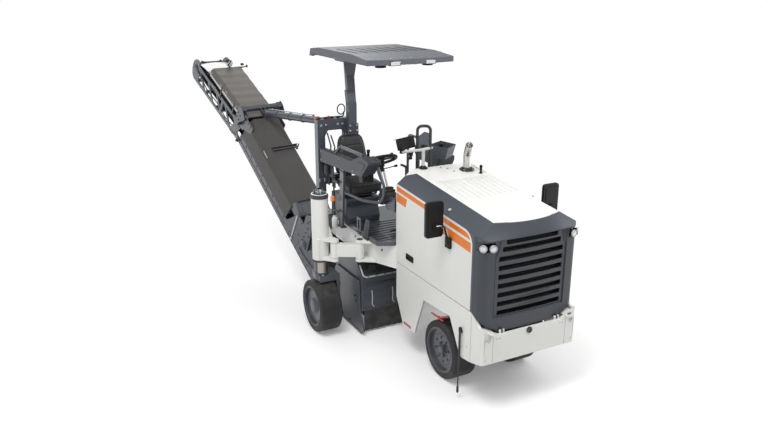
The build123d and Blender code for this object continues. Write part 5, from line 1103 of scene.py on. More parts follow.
def hood_details():
    """Latches, mirror glasses and arms, roof bolts and bracket, shoulder knobs, ring at the exhaust's foot."""
    latches, pulls = [], []
    for side in (-1, 1):
        y = side * HOOD_HALF
        latches.append(prism("y", rectangle(198, 346, 1008, 1072, 12, 4), y - side * 1, y + side * 5))
        pulls.append(prism("y", rectangle(214, 316, 1022, 1060, 9, 4), y + side * 5, y + side * 12))
        pulls.append(disc((334, y + side * 7, 1040), (0, side, 0), 9, 8, 24, 1.5))
    piece("hood_latches", "hood", [("black_plastic", latches), ("black_gloss", pulls)],
        bevel=1.5)

    tubes, clamps, glass, rims = [], [], [], []
    for side in (-1, 1):
        cx, cy, cz = MIRROR[0], side * MIRROR[1], MIRROR[2]
        glass.append(prism("x", rectangle(cy - 80, cy + 80, cz - 154, cz + 154, 24), cx - 17.5, cx - 14))
        rims.append(prism("x", rectangle(cy - 66, cy + 66, cz - 138, cz + 138, 22), cx + 15, cx + 21))
        tubes.append(tube(bent([(978, side * 520, 1480), (978, side * 548, 1560), (972, side * 600, 1596),
            (946, side * 642, 1590)], 26), 7.5, 14))
        clamps += [block(936, 956, side * 622, side * 662, 1566, 1612),
            disc((946, side * 642, 1590), (1, 0, 0), 21, 22, 24, 2),
            block(940, 1016, side * 510, side * 536, 1384, 1484),
            disc((978, side * 540, 1432), (0, side, 0), 22, 12, 24, 2)]
        clamps += [bolt((x, side * 536, z), (0, side, 0), 6, 5) for x in (954, 1002) for z in (1398, 1470)]
    piece("mirror_parts", "hood", [("black_plastic", joined(*rims, *clamps)), ("mirror_glass", glass),
        ("zinc", tubes)], bevel=1.2)

    studs = [bolt((x, y, roof_z(x, y)), (0.1, 0, 1), 7, 5)
        for x, y in ((32, -27), (84, 19), (173, 40), (-14, -54))]
    bracket = [block(312, 330, 250, 268, roof_z(321, 259), roof_z(321, 259) + 66),
        disc((321, 259, roof_z(321, 259) + 70), (0, 1, 0), 15, 20, 20, 2),
        block(306, 336, 244, 274, roof_z(321, 259), roof_z(321, 259) + 6)]
    piece("roof_fittings", "chassis", [("zinc", studs), ("black_plastic", bracket)], bevel=1.0)
    knob = [turned([(0, 13), (3, 15), (12, 15), (16, 12), (18, 0.1)], (890, side * 455, roof_z(890, 455) + 1),
        (0.08, side * 0.55, 0.83), 24) for side in (-1, 1)]
    piece("shoulder_knobs", "hood", [("light_plate", knob)])

    base = roof_z(*EXHAUST)
    ring = [turned([(-2, 74), (6, 74), (8, 70), (8, 60), (20, 56), (22, 50), (22, 40), (-2, 40)],
        (*EXHAUST, base), (0, 0, 1), 48, ring=True)]
    nuts = [bolt((EXHAUST[0] + 65 * cos(a), EXHAUST[1] + 65 * sin(a), base + 8), (0, 0, 1), 6, 6)
        for a in np.arange(4) * pi / 2 + 0.6]
    piece("exhaust_base", "chassis", [("black_steel", ring), ("zinc", nuts)], bevel=0.8)


def bumper_details():
    """Seams, camera and bolts of the bumper; bolts and reflectors of the skirts."""
    camera = [turned([(-6, 27), (0, 30), (8, 30), (11, 26), (11, 18), (4, 17), (4, 0.1)],
        (BUMPER_FACE, -16, 714), (1, 0, 0), 40)]
    lens = [turned([(4, 14), (8, 11), (10, 5), (10.5, 0.1)], (BUMPER_FACE, -16, 714), (1, 0, 0), 32)]
    seams = [block(BUMPER_FACE - 0.5, BUMPER_FACE + 0.7, y - 1.1, y + 1.1, 484, 734) for y in (-400, 393)]
    bolts = [bolt((BUMPER_FACE, y, z), (1, 0, 0), 8, 6) for y in (-470, 470) for z in (520, 700)]
    bolts += [bolt((BUMPER_FACE, side * y, 704), (1, 0, 0), 6, 5) for side in (-1, 1) for y in (330, 360)]
    piece("bumper_details", "chassis", [("black_gloss", camera), ("screen_glass", lens), ("slate_paint", seams),
        ("zinc", bolts)], bevel=0.5, segments=1)
    heads, tips = [], []
    for side in (-1, 1):
        y = side * HOOD_HALF
        heads += [bolt((x, y, z), (0, side, 0), 6, 4) for x, z in ((60, 620), (1300, 560))]
        tips.append(prism("y", rectangle(168, 312, 290, 316, 4, 3), y, y + side * 4))
    piece("skirt_fittings", "chassis", [("white_paint", heads), ("red_lens", tips)], bevel=0.8,
        segments=1)


nose_pieces()
hood_details()
bumper_details()


# ---------------------------------------------------------------- operator's place
CLOTH_PRESSURE, CLOTH_FRAMES = 4.0, 20
STEER_TILT = 28.0             # lean of the steering column from upright, degrees
CUSHION_CENTRE = np.array((-915.0, -480.0, 1497.0))
BACK_CENTRE = np.array((-1128.0, -480.0, 1794.0))
BACK_LEAN = -6.0
MAST_FACE = -1290.0           # front face of the mast's beam


def stuffed_form(half, pinch, crown, taper, count=26, power=5.5):
    """A closed cushion form: a cube's grid drawn to a superellipsoid, waisted, crowned and narrowed upwards."""
    line = np.linspace(-1, 1, count)
    a, b = (g.ravel() for g in np.meshgrid(line, line, indexing="ij"))
    one = np.ones_like(a)
    sides = [np.stack(s, 1) for s in ((a, b, one), (b, a, -one), (one, a, b), (-one, b, a), (b, one, a),
        (a, -one, b))]
    points = np.concatenate(sides)
    faces = []
    for n in range(6):
        faces += [[i + n * count * count for i in f] for f in grid_faces(count, count)]
    q = points / (np.abs(points) ** power).sum(1, keepdims=True) ** (1 / power)
    x, y, z = q.T
    out = np.stack([x * (1 - pinch * (1 - y * y)), y * (1 - pinch * (1 - x * x)), z], 1) * np.asarray(half, float)
    out[:, 2] += crown * (1 - x * x) * (1 - y * y) * (z > 0)
    if taper:
        share = (z + 1) / 2
        out[:, 1] *= 1 - taper * np.clip(share - 0.25, 0, 1) / 0.75
    return out, faces


def numbers(mesh, what):
    """The places or the normals of a mesh's points, as rows of three."""
    found = np.empty(len(mesh.vertices) * 3)
    mesh.vertices.foreach_get(what, found)
    return found.reshape(-1, 3)


def puffed(name, mesh, voxel, cap, floor_z, channels):
    """The form remeshed, blown up as closed cloth, its moves capped, laid flat where it rests, its channels sewn in."""
    points, faces = mesh
    data = bpy.data.meshes.new(name + "_form")
    data.from_pydata(metres(points).tolist(), [], faces)
    shape = bmesh.new()
    shape.from_mesh(data)
    bmesh.ops.remove_doubles(shape, verts=shape.verts, dist=1e-4)
    bmesh.ops.recalc_face_normals(shape, faces=shape.faces)
    shape.to_mesh(data)
    shape.free()
    thing = bpy.data.objects.new(name + "_form", data)
    bpy.context.scene.collection.objects.link(thing)
    remesh = thing.modifiers.new("even", "REMESH")
    remesh.mode, remesh.voxel_size = "VOXEL", voxel * MM
    even = bpy.data.meshes.new_from_object(thing.evaluated_get(bpy.context.evaluated_depsgraph_get()))
    thing.modifiers.clear()
    thing.data = even
    place = rest = numbers(even, "co")
    cloth = thing.modifiers.new("stuffing", "CLOTH")
    cloth.settings.use_pressure, cloth.settings.uniform_pressure_force = True, CLOTH_PRESSURE
    cloth.settings.effector_weights.gravity = 0.0
    cloth.settings.quality = 5
    cloth.point_cache.frame_start, cloth.point_cache.frame_end = 1, CLOTH_FRAMES
    for step in range(1, CLOTH_FRAMES + 1):
        bpy.context.scene.frame_set(step)
    blown = bpy.data.meshes.new_from_object(thing.evaluated_get(bpy.context.evaluated_depsgraph_get()))
    place = numbers(blown, "co")
    bpy.data.meshes.remove(blown)
    thing.modifiers.clear()
    bpy.context.scene.frame_set(1)
    move = place - rest
    length = np.linalg.norm(move, axis=1, keepdims=True)
    place = rest + move * np.minimum(1.0, cap * MM / np.maximum(length, 1e-9))
    even.vertices.foreach_set("co", place.ravel())
    even.update()
    normal = numbers(even, "normal")
    place = datum(place) + normal * channels(datum(place), normal)[:, None]
    if floor_z is not None:
        place[:, 2] = np.maximum(place[:, 2], floor_z)
    even.vertices.foreach_set("co", metres(place).ravel())
    bpy.data.objects.remove(thing)
    return even


def seam_line(mesh, centre, across, up, level, radius, count=96):
    """A piping tube round a cushion: rays from the centre in one plane find its skin, and a tube follows the points."""
    shape = bmesh.new()
    shape.from_mesh(mesh)
    tree = BVHTree.FromBMesh(shape)
    shape.free()
    points = []
    start = metres(np.asarray(centre, float) + np.cross(across, up) * level)
    for a in np.arange(count) * 2 * pi / count:
        ray = Vector(np.asarray(across, float) * cos(a) + np.asarray(up, float) * sin(a))
        hit = tree.ray_cast(Vector(start), ray)[0]
        if hit is not None:
            points.append(datum(hit))
    points = np.array(points)
    step = unit(np.roll(points, -1, 0) - np.roll(points, 1, 0))
    out = unit(points - points.mean(0))
    out = unit(out - step * (out * step).sum(1, keepdims=True))
    return swept(circle(radius, 10), points, out, np.cross(step, out), ends=False, ring=True)


def seat_pieces():
    """Cushion and backrest of stuffed cloth with sewn channels and piping, on a slider and a wider box."""
    def across_channels(p, n):
        """Grooves on the cushion's top: two across and one along each side."""
        groove = sum(np.exp(-((p[:, 0] - x) / 5.0) ** 2) for x in (-1010.0, -880.0))
        side = sum(np.exp(-((p[:, 1] - y) / 5.0) ** 2) for y in (-620.0, -340.0))
        return -(5.0 * groove + 5.0 * side) * np.clip(n[:, 2] * 2 - 0.6, 0, 1)

    def back_channels(p, n):
        """Grooves on the backrest's faces: three across and one up each side."""
        groove = sum(np.exp(-((p[:, 2] - z) / 5.0) ** 2) for z in (1690.0, 1800.0, 1905.0))
        side = sum(np.exp(-((p[:, 1] - y) / 5.0) ** 2) for y in (-590.0, -370.0))
        return -(4.5 * groove + 5.0 * side) * np.clip(np.abs(n[:, 0]) * 2 - 0.6, 0, 1)

    points, faces = stuffed_form((222.0, 212.0, 52.0), 0.045, 14.0, 0.0)
    cushion = puffed("seat_cushion", (points + CUSHION_CENTRE, faces), 7.0, 12.0, 1440.6, across_channels)
    turn = rotation((0, 1, 0), BACK_LEAN)
    points, faces = stuffed_form((46.0, 210.0, 232.0), 0.05, 6.0, 0.30)
    points[:, 0] += 10 * np.cos(points[:, 2] / 90.0)
    back = puffed("seat_back", ((points @ turn.T) + BACK_CENTRE, faces), 7.0, 12.0, None, back_channels)
    for name, data in (("seat_cushion", cushion), ("seat_back", back)):
        data.materials.clear()
        data.materials.append(FINISHES["seat_vinyl"])
        data.polygons.foreach_set("material_index", np.zeros(len(data.polygons), np.int32))
        pad = finished(name, data, "chassis", 0.0, 2, 60, 1, ("seat",)
            if name == "seat_cushion" else ())
    pipes = [seam_line(cushion, CUSHION_CENTRE, (1, 0, 0), (0, 1, 0), 34.0, 4.5),
             seam_line(back, BACK_CENTRE, (0, 1, 0), turn @ (0, 0, 1.0), 30.0, 4.5)]
    piece("seat_piping", "chassis", [("black_plastic", pipes)])

    hinge = [block(-1140, -1060, y - 6, y + 6, 1448, 1580) for y in (-706, -254)]
    hinge += [disc((-1090, y, 1530), (0, 1, 0), 34, 18, 28, 2) for y in (-706, -254)]
    slider = [block(-1120, -760, y - 10, y + 10, 1418, 1439) for y in (-610, -350)]
    slider.append(rod((-742, -600, 1428), (-742, -360, 1428), 7, 12))
    folds = [swept(rectangle(-1090, -810, -585, -375, 22, 4), [(0, 0, z), (0, 0, z + 8)], (1, 0, 0), (0, 1, 0))
             for z in (1384, 1396, 1408, 1420)]
    profile = rounded([(-1190, FLOOR_Z), (-752, FLOOR_Z), (-740, 1180), (-790, 1300), (-752, 1362), (-752, 1392),
        (-1180, 1392)], (4, 10, 40, 60, 16, 10, 10), 6)
    box = [prism("y", profile, -702, -318)]
    panel = [prism("y", rounded([(-1140, 1150), (-830, 1150), (-850, 1330), (-1140, 1330)], 16, 4), -706, -701),
             prism("x", rectangle(-640, -400, 1150, 1160, 4, 3), -748, -736)]
    screws = [bolt((x, -706, z), (0, -1, 0), 6, 5) for x in (-1120, -860) for z in (1170, 1312)]
    piece("seat_box", "chassis", [("slate_paint", joined(*box, *panel)),
        ("black_steel", joined(*hinge, *slider)), ("sheet_rubber", folds), ("zinc", screws)],
        bevel=2.5, replaces=("seat_pedestal",))


def open_tray(low, high, low_z, high_z, wall):
    """An open box between two four-cornered outlines, with an even wall and a floor."""
    low, high = np.asarray(low, float), np.asarray(high, float)
    shrink = lambda ring: ring + unit(ring.mean(0) - ring) * wall
    rings = [np.c_[low, [low_z] * 4], np.c_[high, [high_z] * 4], np.c_[shrink(high), [high_z] * 4],
        np.c_[shrink(low), [low_z + wall] * 4]]
    faces = grid_faces(4, 4, False, True) + [[3, 2, 1, 0], [12, 13, 14, 15]]
    return np.concatenate(rings), faces


def right_console():
    """Long box along the right side with a raised lid, plugs below, knobs on its nose and a joystick."""
    side = [(-1292, 1712), (-225, 1778), (-78, 1928), (-78, 1962), (-228, 1986), (-332, 1952), (-466, 1893),
        (-1292, 1862)]
    body = prism("y", rounded(side, (2, 14, 18, 10, 18, 14, 10, 2), 4), -790, -716)
    nose = swept(rounded([(-334, 1805), (-228, 1790), (-84, 1932), (-84, 1958), (-226, 1978), (-334, 1944)], 12,
        3), [(0, -717, 0), (0, -640, 0)], (1, 0, 0), (0, 0, 1))
    lid = [prism("y", [(-1180, 1868), (-480, 1894), (-480, 1898), (-1180, 1872)], -782, -726)]
    hatch = prism("y", rounded([(-300, 1850), (-180, 1858), (-140, 1920), (-290, 1925)], 12, 4), -794, -790)
    screws = [bolt((x, -790, z), (0, -1, 0), 6, 5)
        for x, z in ((-1250, 1740), (-1250, 1836), (-760, 1770), (-760, 1850), (-430, 1795))]
    plugs = [block(-330, -244, y, y + 34, 1706, 1800) for y in (-766, -718, -676)]
    plugs += [rod((x, y, 1676), (x, y, 1708), 8, 12) for x in (-312, -268) for y in (-749, -701, -659)]
    dots = [disc((x, y, 1979 - 0.17 * abs(x + 228)), (0.15, 0, 1), 9, 10, 20, 1.5) for x in (-150, -112)
        for y in (-760, -720, -680)]
    dots += [turned([(0, 14), (10, 16), (34, 13), (58, 19), (72, 17), (76, 0.1)], (-270, -690, 1966),
        (0.1, 0, 1), 24)]
    piece("right_console_box", "chassis", [("slate_plastic", joined(body, nose, *lid, hatch)),
        ("black_plastic", joined(*plugs, *dots)), ("zinc", screws)], bevel=3.0,
        replaces=("console_right",))


def grab_rails():
    """Two rails over the console, the loop and its post beside the seat, the hoop with its plate, and the left post."""
    rails = [tube(bent([(-905, -776, 1870), (-744, -776, 1992), (-238, -776, 2006), (-236, -776, 1984)], 34), 10,
        14), tube(bent([(-1010, -730, 1872), (-880, -730, 1944), (-470, -730, 1958), (-340, -730, 1950)], 34), 9,
        14)]
    loop = tube(bent([(-806, -738, 1478), (-360, -700, 1486), (-160, -611, 1502), (-134, -590, 1580),
        (-132, -584, 1690), (-190, -596, 1763), (-170, -640, 1870)], 60), 15, 18)
    post = swept(rectangle(-46, 46, -13, 13), [(-836, -742, 1070), (-766, -745, 1735)], (1, 0, 0), (0, 1, 0))
    feet = [block(-900, -778, -768, -700, 1070, 1082), block(-810, -720, -766, -716, 1700, 1716)]
    hoop = tube(bent([(-104, -224, FLOOR_Z), (-104, -224, 2262), (-46, -108, 2262), (-46, -108, FLOOR_Z)], 46),
        15, 18)
    plate = set_in(prism("y", rounded([(-62, 2078), (58, 2070), (60, 2186), (6, 2206), (-56, 2158)], 10, 3), -5,
        5), (-75, -166, 0), (0.45, 0.893, 0), (0, 0, 1))
    left = [tube(bent([(-330, 350, FLOOR_Z), (-330, 350, 1740)], 30), 20, 16)]
    piece("grab_rails", "chassis", [("slate_paint", joined(loop, *rails, post, *feet, plate, *left)),
        ("black_steel", joined(hoop))], bevel=1.5, replaces=("guard_rails",))


def steering():
    """Column of two rods with collar, lever, gaiter and pedal, and the wheel's cap, spokes' pads and grips."""
    centre = np.array((-425.0, -480.0, 1872.0))
    axis = np.array((-sin(radians(STEER_TILT)), 0, cos(radians(STEER_TILT))))
    top = centre - axis * 26
    rods = [rod(top - axis * 315 + (0, dy, 0), top - axis * 30 + (0, dy, 0), 11, 18) for dy in (-18, 18)]
    collar = [turned([(-46, 24), (-40, 38), (-6, 38), (-0.3, 34)], top, axis, 36),
        turned([(-92, 20), (-88, 26), (-60, 26), (-46, 22)], top, axis, 24)]
    lever = [rod(top - axis * 70, top - axis * 62 + (0, 150, 10), 5, 12),
        turned([(0, 8), (10, 12), (34, 13), (40, 0.1)], top - axis * 62 + (0, 146, 10), (0, 1, 0.06), 20)]
    foot = top - axis * 262
    flat = np.array((axis[2], 0, -axis[0]))
    bellows = [foot - axis * drop for drop in (0, 16, 32, 50, 68, 88, 150, 164)]
    widths = np.array((38, 60, 54, 70, 62, 76, 76, 60)) / 60.0
    gaiter = swept(rectangle(-60, 60, -66, 66, 18, 4), np.array(bellows), flat, (0, 1, 0), widths)
    cheek = rounded([(-250, 1425), (-190, 1410), (-31, 1440), (-31, 1560), (-150, 1560), (-214, 1500)], 14, 4)
    arm = [*(prism("y", cheek, y, y + 12) for y in (-512, -460)), block(-42, -31, -520, -440, 1425, 1575)]
    pedal = [swept(rectangle(-34, 34, -44, 44, 10, 3), [(-250, -400, 1150), (-244, -400, 1160)], (0.9, 0, 0.45),
        (0, 1, 0)), rod((-246, -400, 1156), (-150, -400, 1220), 8, 12)]
    piece("steering_column", "chassis", [("zinc", rods), ("black_plastic", joined(*collar, *lever)),
        ("sheet_rubber", gaiter), ("slate_paint", arm), ("black_steel", pedal)], bevel=1.5,
        replaces=("steering_pedestal",))

    cap = [turned([(12, 62), (20, 60), (30, 48), (34, 30), (35, 0.1)], centre, axis, 40)]
    pads = []
    for n in range(3):
        a = radians(120 * n + 180)
        ray = flat * cos(a) + np.array((0, 1.0, 0)) * sin(a)
        path = np.array([centre + ray * r + axis * h for r, h in ((30, 12), (70, 10), (120, 7), (168, 3))])
        pads.append(swept(rectangle(-17, 17, -6, 6, 5, 3), path, unit(np.cross(axis, ray)), axis,
            [1.2, 1.0, 0.85, 0.7]))
    grips = [tube(np.array([centre + (flat * cos(a) + np.array((0, 1.0, 0)) * sin(a)) * 172
        for a in np.linspace(s, s + 1.1, 20)]), 17, 16) for s in (0.6, 2.7, 4.8)]
    piece("wheel_cap", "steering_wheel", [("black_plastic", joined(*cap, *grips)), ("black_gloss", pads)],
        bevel=1.0)


def display():
    """Screen in its case on a bent arm, with its stand, clamps and two small knobs."""
    screen = rotation((0, 0, 1), 22) @ rotation((0, 1, 0), -16)
    hub = np.array((-150.0, -330.0, 2088.0))
    case = moved(prism("x", rectangle(-104, 104, -56, 56, 12, 4), -34, 34), hub, screen)
    glass = moved(prism("x", rectangle(-90, 90, -44, 44, 4, 3), -35.5, -33.5), hub, screen)
    hood = moved(swept(rectangle(-60, 36, -106, 106), [(0, 0, 57), (0, 0, 61)], (1, 0, 0), (0, 1, 0)), hub,
        screen)
    keys = [moved(disc((-35, y, -50), (1, 0, 0), 5, 5, 14, 1), hub, screen) for y in (-70, -42, -14, 14, 42, 70)]
    stand = [rod((-14, -205, 1852), (-14, -205, 2030), 17, 24),
             tube(bent([(-110, -396, 2016), (-60, -372, 2028), (-30, -230, 2034), (-50, -84, 2040)], 50), 15, 16)]
    base = [turned([(0, 46), (6, 46), (10, 34), (26, 24), (26, 17)], (-14, -205, 1851), (0, 0, 1), 36),
        block(-130, -96, -412, -372, 2000, 2034), disc((-120, -372, 2030), (0, 1, 0), 20, 24, 24, 2),
        disc((-100, -300, 1985), (0, 1, 0.2), 24, 26, 24, 3), disc((-66, -322, 1958), (1, 0, 0), 18, 26, 24, 3),
        rod((-96, -330, 1930), (-60, -300, 2010), 9, 12), block(-150, -40, -392, -366, 1868, 1884),
        rod((-60, -378, 1772), (-60, -378, 1870), 8, 12)]
    piece("display_on_arm", "chassis", [("black_plastic", joined(case, hood, *base)), ("screen_glass", glass),
        ("black_gloss", keys), ("light_plate", stand)], bevel=1.6, replaces=("display_unit",))


def left_console():
    """Open tray with what lies in it, knobs, a switch strip and a soft rest."""
    rim_low = [(-250, -20), (-405, 226), (-240, 288), (-98, 104)]
    rim_high = [(-330, 40), (-452, 268), (-225, 316), (-92, 132)]
    tray = open_tray(rim_low, rim_high, 1882, 2002, 9)
    inside = [turned([(0, 30), (6, 30), (12, 18), (30, 12), (84, 11), (92, 20), (128, 17), (132, 0.1)],
        (-270, 150, 1891), (0.12, 0, 1), 28)]
    inside += [disc((x, y, 1898), (0, 0, 1), 12, 14, 20, 2)
        for x, y in ((-180, 130), (-215, 90), (-200, 190), (-330, 190), (-330, 120))]
    inside += [block(-352, -296, 150, 240, 1891, 1912)]
    knobs = [turned([(0, 24), (10, 26), (22, 16), (30, 0.1)], (-760 + 70 * n, 230, 1872), (0, 0, 1), 24)
        for n in range(3)]
    knobs += [block(-700, -520, 300, 350, 1878, 1888)]
    rest = swept(rectangle(-50, 50, -12, 14, 10, 4), [(-840, 276, 1900), (-600, 276, 1904)], (0, 1, 0), (0, 0, 1))
    piece("left_console_parts", "chassis", [("slate_plastic", tray), ("black_plastic", joined(*inside, *knobs)),
        ("seat_vinyl", rest)], bevel=2.5)


def mast_services():
    """Pipe, clamps, motor, amber lamp, reservoir and clamped hoses at the mast's right leg."""
    dark = [tube(bent([(-948, -776, 1712), (-940, -778, 1500), (-930, -780, 1300), (-922, -780, 1146)], 60), 9,
        14), block(-960, -830, -784, -770, 1560, 1584), block(-945, -836, -784, -770, 1236, 1258),
        block(MAST_FACE, -1080, -730, -712, 1560, 1700),
        turned([(-60, 26), (-50, 34), (50, 34), (60, 26)], (-1190, -742, 1640), (0, 0, 1), 28)]
    lamp = [turned([(-28, 20), (-24, 26), (22, 26), (30, 18), (33, 0.1)], (-936, -796, 1372), (0, 0, 1), 28)]
    tank = [turned([(-62, 30), (-56, 34), (40, 34), (52, 26), (56, 18), (72, 18), (74, 0.1)], (-922, -780, 1110),
        (0, 0, 1), 32)]
    hoses = [tube(bent(p, 40), 8, 12) for p in ([(-1270, -700, 2030), (-1200, -690, 1900), (-1180, -700, 1740),
        (-1200, -720, 1700)], [(-1262, -660, 2000), (-1180, -650, 1880), (-1150, -690, 1760),
        (-1180, -720, 1690)])]
    piece("mast_services", "chassis", [("black_steel", dark), ("amber_lens", lamp), ("white_paint", tank),
        ("hose_rubber", hoses)], bevel=1.2)


def floor_details():
    """Kerb, ribs and foothold of the platform's right edge."""
    step = [block(-560, -470, -704, -686, 1092, 1104)]
    holder = prism("y", rounded([(-420, 1062), (-300, 1062), (-240, 1300), (-330, 1300)], 8, 3), -694, -682)
    # a dark slot shape laid on the holder's face: painted shade of its opening
    painted_slot_shade = prism("y", rounded([(-372, 1100), (-328, 1100), (-290, 1272), (-312, 1272)], 6, 3), -697, -690)
    ribs = [block(-700 + 34 * n, -690 + 34 * n, -660, -520, FLOOR_Z, 1119) for n in range(17)]
    kerb = [block(-1196, -110, -682, -676, 1090, 1128)]
    piece("floor_details", "chassis", [("slate_paint", joined(*step, *kerb)), ("slate_plastic", holder),
        ("black_steel", joined(painted_slot_shade, *ribs))], bevel=1.5)


def mast_and_canopy():
    """Fittings on the mast's beam, gussets and bolts of the canopy column, lamps, bolts and lip of the roof."""
    studs, red, hooks, slate = [], [], [], []
    for y in (-760, -700, -560, -500):
        studs.append(bolt((MAST_FACE, y, 2112), (1, 0, 0), 9, 7))
    for y in (-790, -730):
        for z in (1500, 1480, 1110, 1090):
            studs.append(bolt((MAST_FACE, y, z), (1, 0, 0), 8, 7))
    for x, y in ((-1340, -770), (-1330, -690), (-1340, -610), (-1330, -540)):
        hooks.append(disc((x, y, 2184), (0, 1, 0), 14, 34, 18, 2))
    red += [disc((-1336, -650, 2190), (0, 1, 0), 16, 26, 18, 2),
        disc((-1336, -800, 2190), (0, 1, 0), 16, 26, 18, 2)]
    a = np.linspace(0, 2 * pi, 40, endpoint=False)
    ring = np.stack([-1330 + 0 * a, -500 + 46 * np.cos(a), 2268 + 56 * np.sin(a)], 1)
    hooks.append(swept(circle(7, 10), ring, np.stack([0 * a, np.cos(a), np.sin(a)], 1), (1, 0, 0), ends=False,
        ring=True))
    pipe = [tube(bent([(-1330, -800, 2188), (-1330, -470, 2188), (-1330, -470, 2240)], 20), 8, 12)]
    slate += [*(prism("y", [(MAST_FACE, 1900), (-1200, 1900), (MAST_FACE, 2060)], y, y + 8)
        for y in (-478, -360)), block(-1206, -1196, -470, -350, 1880, 2120),
        block(MAST_FACE, -1196, -480, -340, 1872, 1884)]
    slate += [prism("x", [(-715, 2050), (-680, 2050), (-715, 1990)], -1300, -1292),
        prism("x", [(-475, 2050), (-520, 2050), (-475, 1980)], -1300, -1292)]
    for y in (-452, -368):
        for z in (1910, 1960, 2040, 2100):
            studs.append(bolt((-1196, y, z), (1, 0, 0), 8, 7))
    slate += [block(MAST_FACE, -1230, y - 5, y + 5, 1440, 1560) for y in (-700, -490)]
    piece("mast_fittings", "chassis", [("slate_paint", slate), ("zinc", studs),
        ("black_steel", joined(*hooks, *pipe)), ("red_paint", red)], bevel=1.2)

    x_front = lambda y: -417 - 46 * (abs(y + 96) / 506) ** 2
    dots, lamps, cans, brackets = [], [], [], []
    for y in np.linspace(-560, 368, 9):
        x = x_front(y) - 52
        dots.append(turned([(0, 8), (2.5, 8), (3.5, 5), (3.6, 0.1)], (x, y, 2887 + 1.5), (0.1, 0, 1), 16))
    for y in (-590, 398):
        for x in (-700, -1000, -1300, -1600, -1850):
            dots.append(turned([(0, 8), (3, 8), (4, 5), (4.1, 0.1)], (x, y, 2912), (0, 0, 1), 16))
    for y in (-300, 108):
        x = x_front(y)
        cans.append(block(x - 46, x - 2, y - 62, y + 62, 2820, 2868))
        lamps.append(block(x - 3, x + 3, y - 54, y + 54, 2826, 2862))
    for y in (-400, 150):
        cans.append(disc((-560, y, 2806), (0, 0, 1), 58, 20, 36, 3))
        lamps.append(disc((-560, y, 2798), (0, 0, 1), 46, 8, 36, 2))
    brackets += [block(-1470, -1210, -506, -500, 2790, 2840), block(-1470, -1210, -306, -300, 2790, 2840)]
    brackets += [prism("x", [(-445, 2600), (-355, 2600), (-310, 2850), (-490, 2850)], -1296, -1286)]
    brackets += [tube(bent([(-1262, -352, 2120), (-1262, -352, 2300), (-1290, -352, 2480), (-1330, -352, 2820)],
        60), 10, 12)]
    piece("canopy_fittings", "chassis", [("zinc", dots), ("lamp_lens", lamps), ("black_plastic", cans),
        ("slate_paint", brackets)], bevel=1.0, segments=1)


for build in (seat_pieces, right_console, grab_rails, steering, display, left_console, mast_services,
        floor_details, mast_and_canopy):
    build()


# ---------------------------------------------------------------- wheels, columns, deck side and housing
def wheel_pieces():
    """Rim rings, moulded tyre rings, hub domes, nuts and valves of the four wheels."""
    for name, x, y, side in (("front_right", FRONT_WHEEL[0], -FRONT_WHEEL[1], -1),
            ("front_left", *FRONT_WHEEL, 1), ("rear_right", COLUMN_X, COLUMN_Y["right"], -1),
            ("rear_left", COLUMN_X, COLUMN_Y["left"], 1)):
        centre = np.array((x, y, WHEEL_Z))
        rubber, pale, metal, nuts = [], [], [], []
        for look in (side, -side):
            face = centre + (0, look * 119.0, 0)
            rubber.append(turned([(-2, 234), (2.2, 236), (3.0, 240), (2.0, 246), (-2, 248)], face, (0, look, 0),
                96, ring=True))
            rubber.append(turned([(-3, 254), (0.8, 256), (0.8, 261), (-3, 262)], face, (0, look, 0), 96,
                ring=True))
            pale.append(turned([(-3, 213), (2.6, 214), (3.4, 217), (2.4, 220.5), (-3, 221)], face, (0, look, 0),
                96, ring=True))
        disc_face = centre + (0, side * 86.0, 0)
        if name.startswith("rear"):
            metal.append(turned([(0, 92), (3, 92), (8, 80), (26, 68), (31, 54), (33, 30), (33.4, 0.1)],
                disc_face, (0, side, 0), 64))
            metal.append(turned([(0, 176), (5, 172), (5, 166), (0, 160)], disc_face, (0, side, 0), 72, ring=True))
        else:
            metal.append(turned([(0, 148), (4, 144), (4, 96), (0, 90)], disc_face, (0, side, 0), 72, ring=True))
            metal.append(turned([(0, 46), (22, 42), (31, 32), (32, 0.1)], disc_face, (0, side, 0), 48))
            nuts += [bolt(disc_face + (118 * cos(a), side * 3, 118 * sin(a)), (0, side, 0), 10, 9)
                for a in np.arange(8) * pi / 4 + 0.2]
            nuts += [bolt(disc_face + (62 * cos(a), side * 10, 62 * sin(a)), (0, side, 0), 10, 8)
                for a in np.arange(6) * pi / 3]
        metal.append(rod(disc_face + (0, 0, 188), disc_face + (0, side * 26, 186), 4, 10))
        parts = [("wheel_rubber", rubber), ("pale_rubber", pale), ("slate_paint", metal)]
        if nuts:
            parts.append(("slate_plastic", nuts))
        piece("wheel_trim_" + name, "wheel_" + name, parts, bevel=0.0)


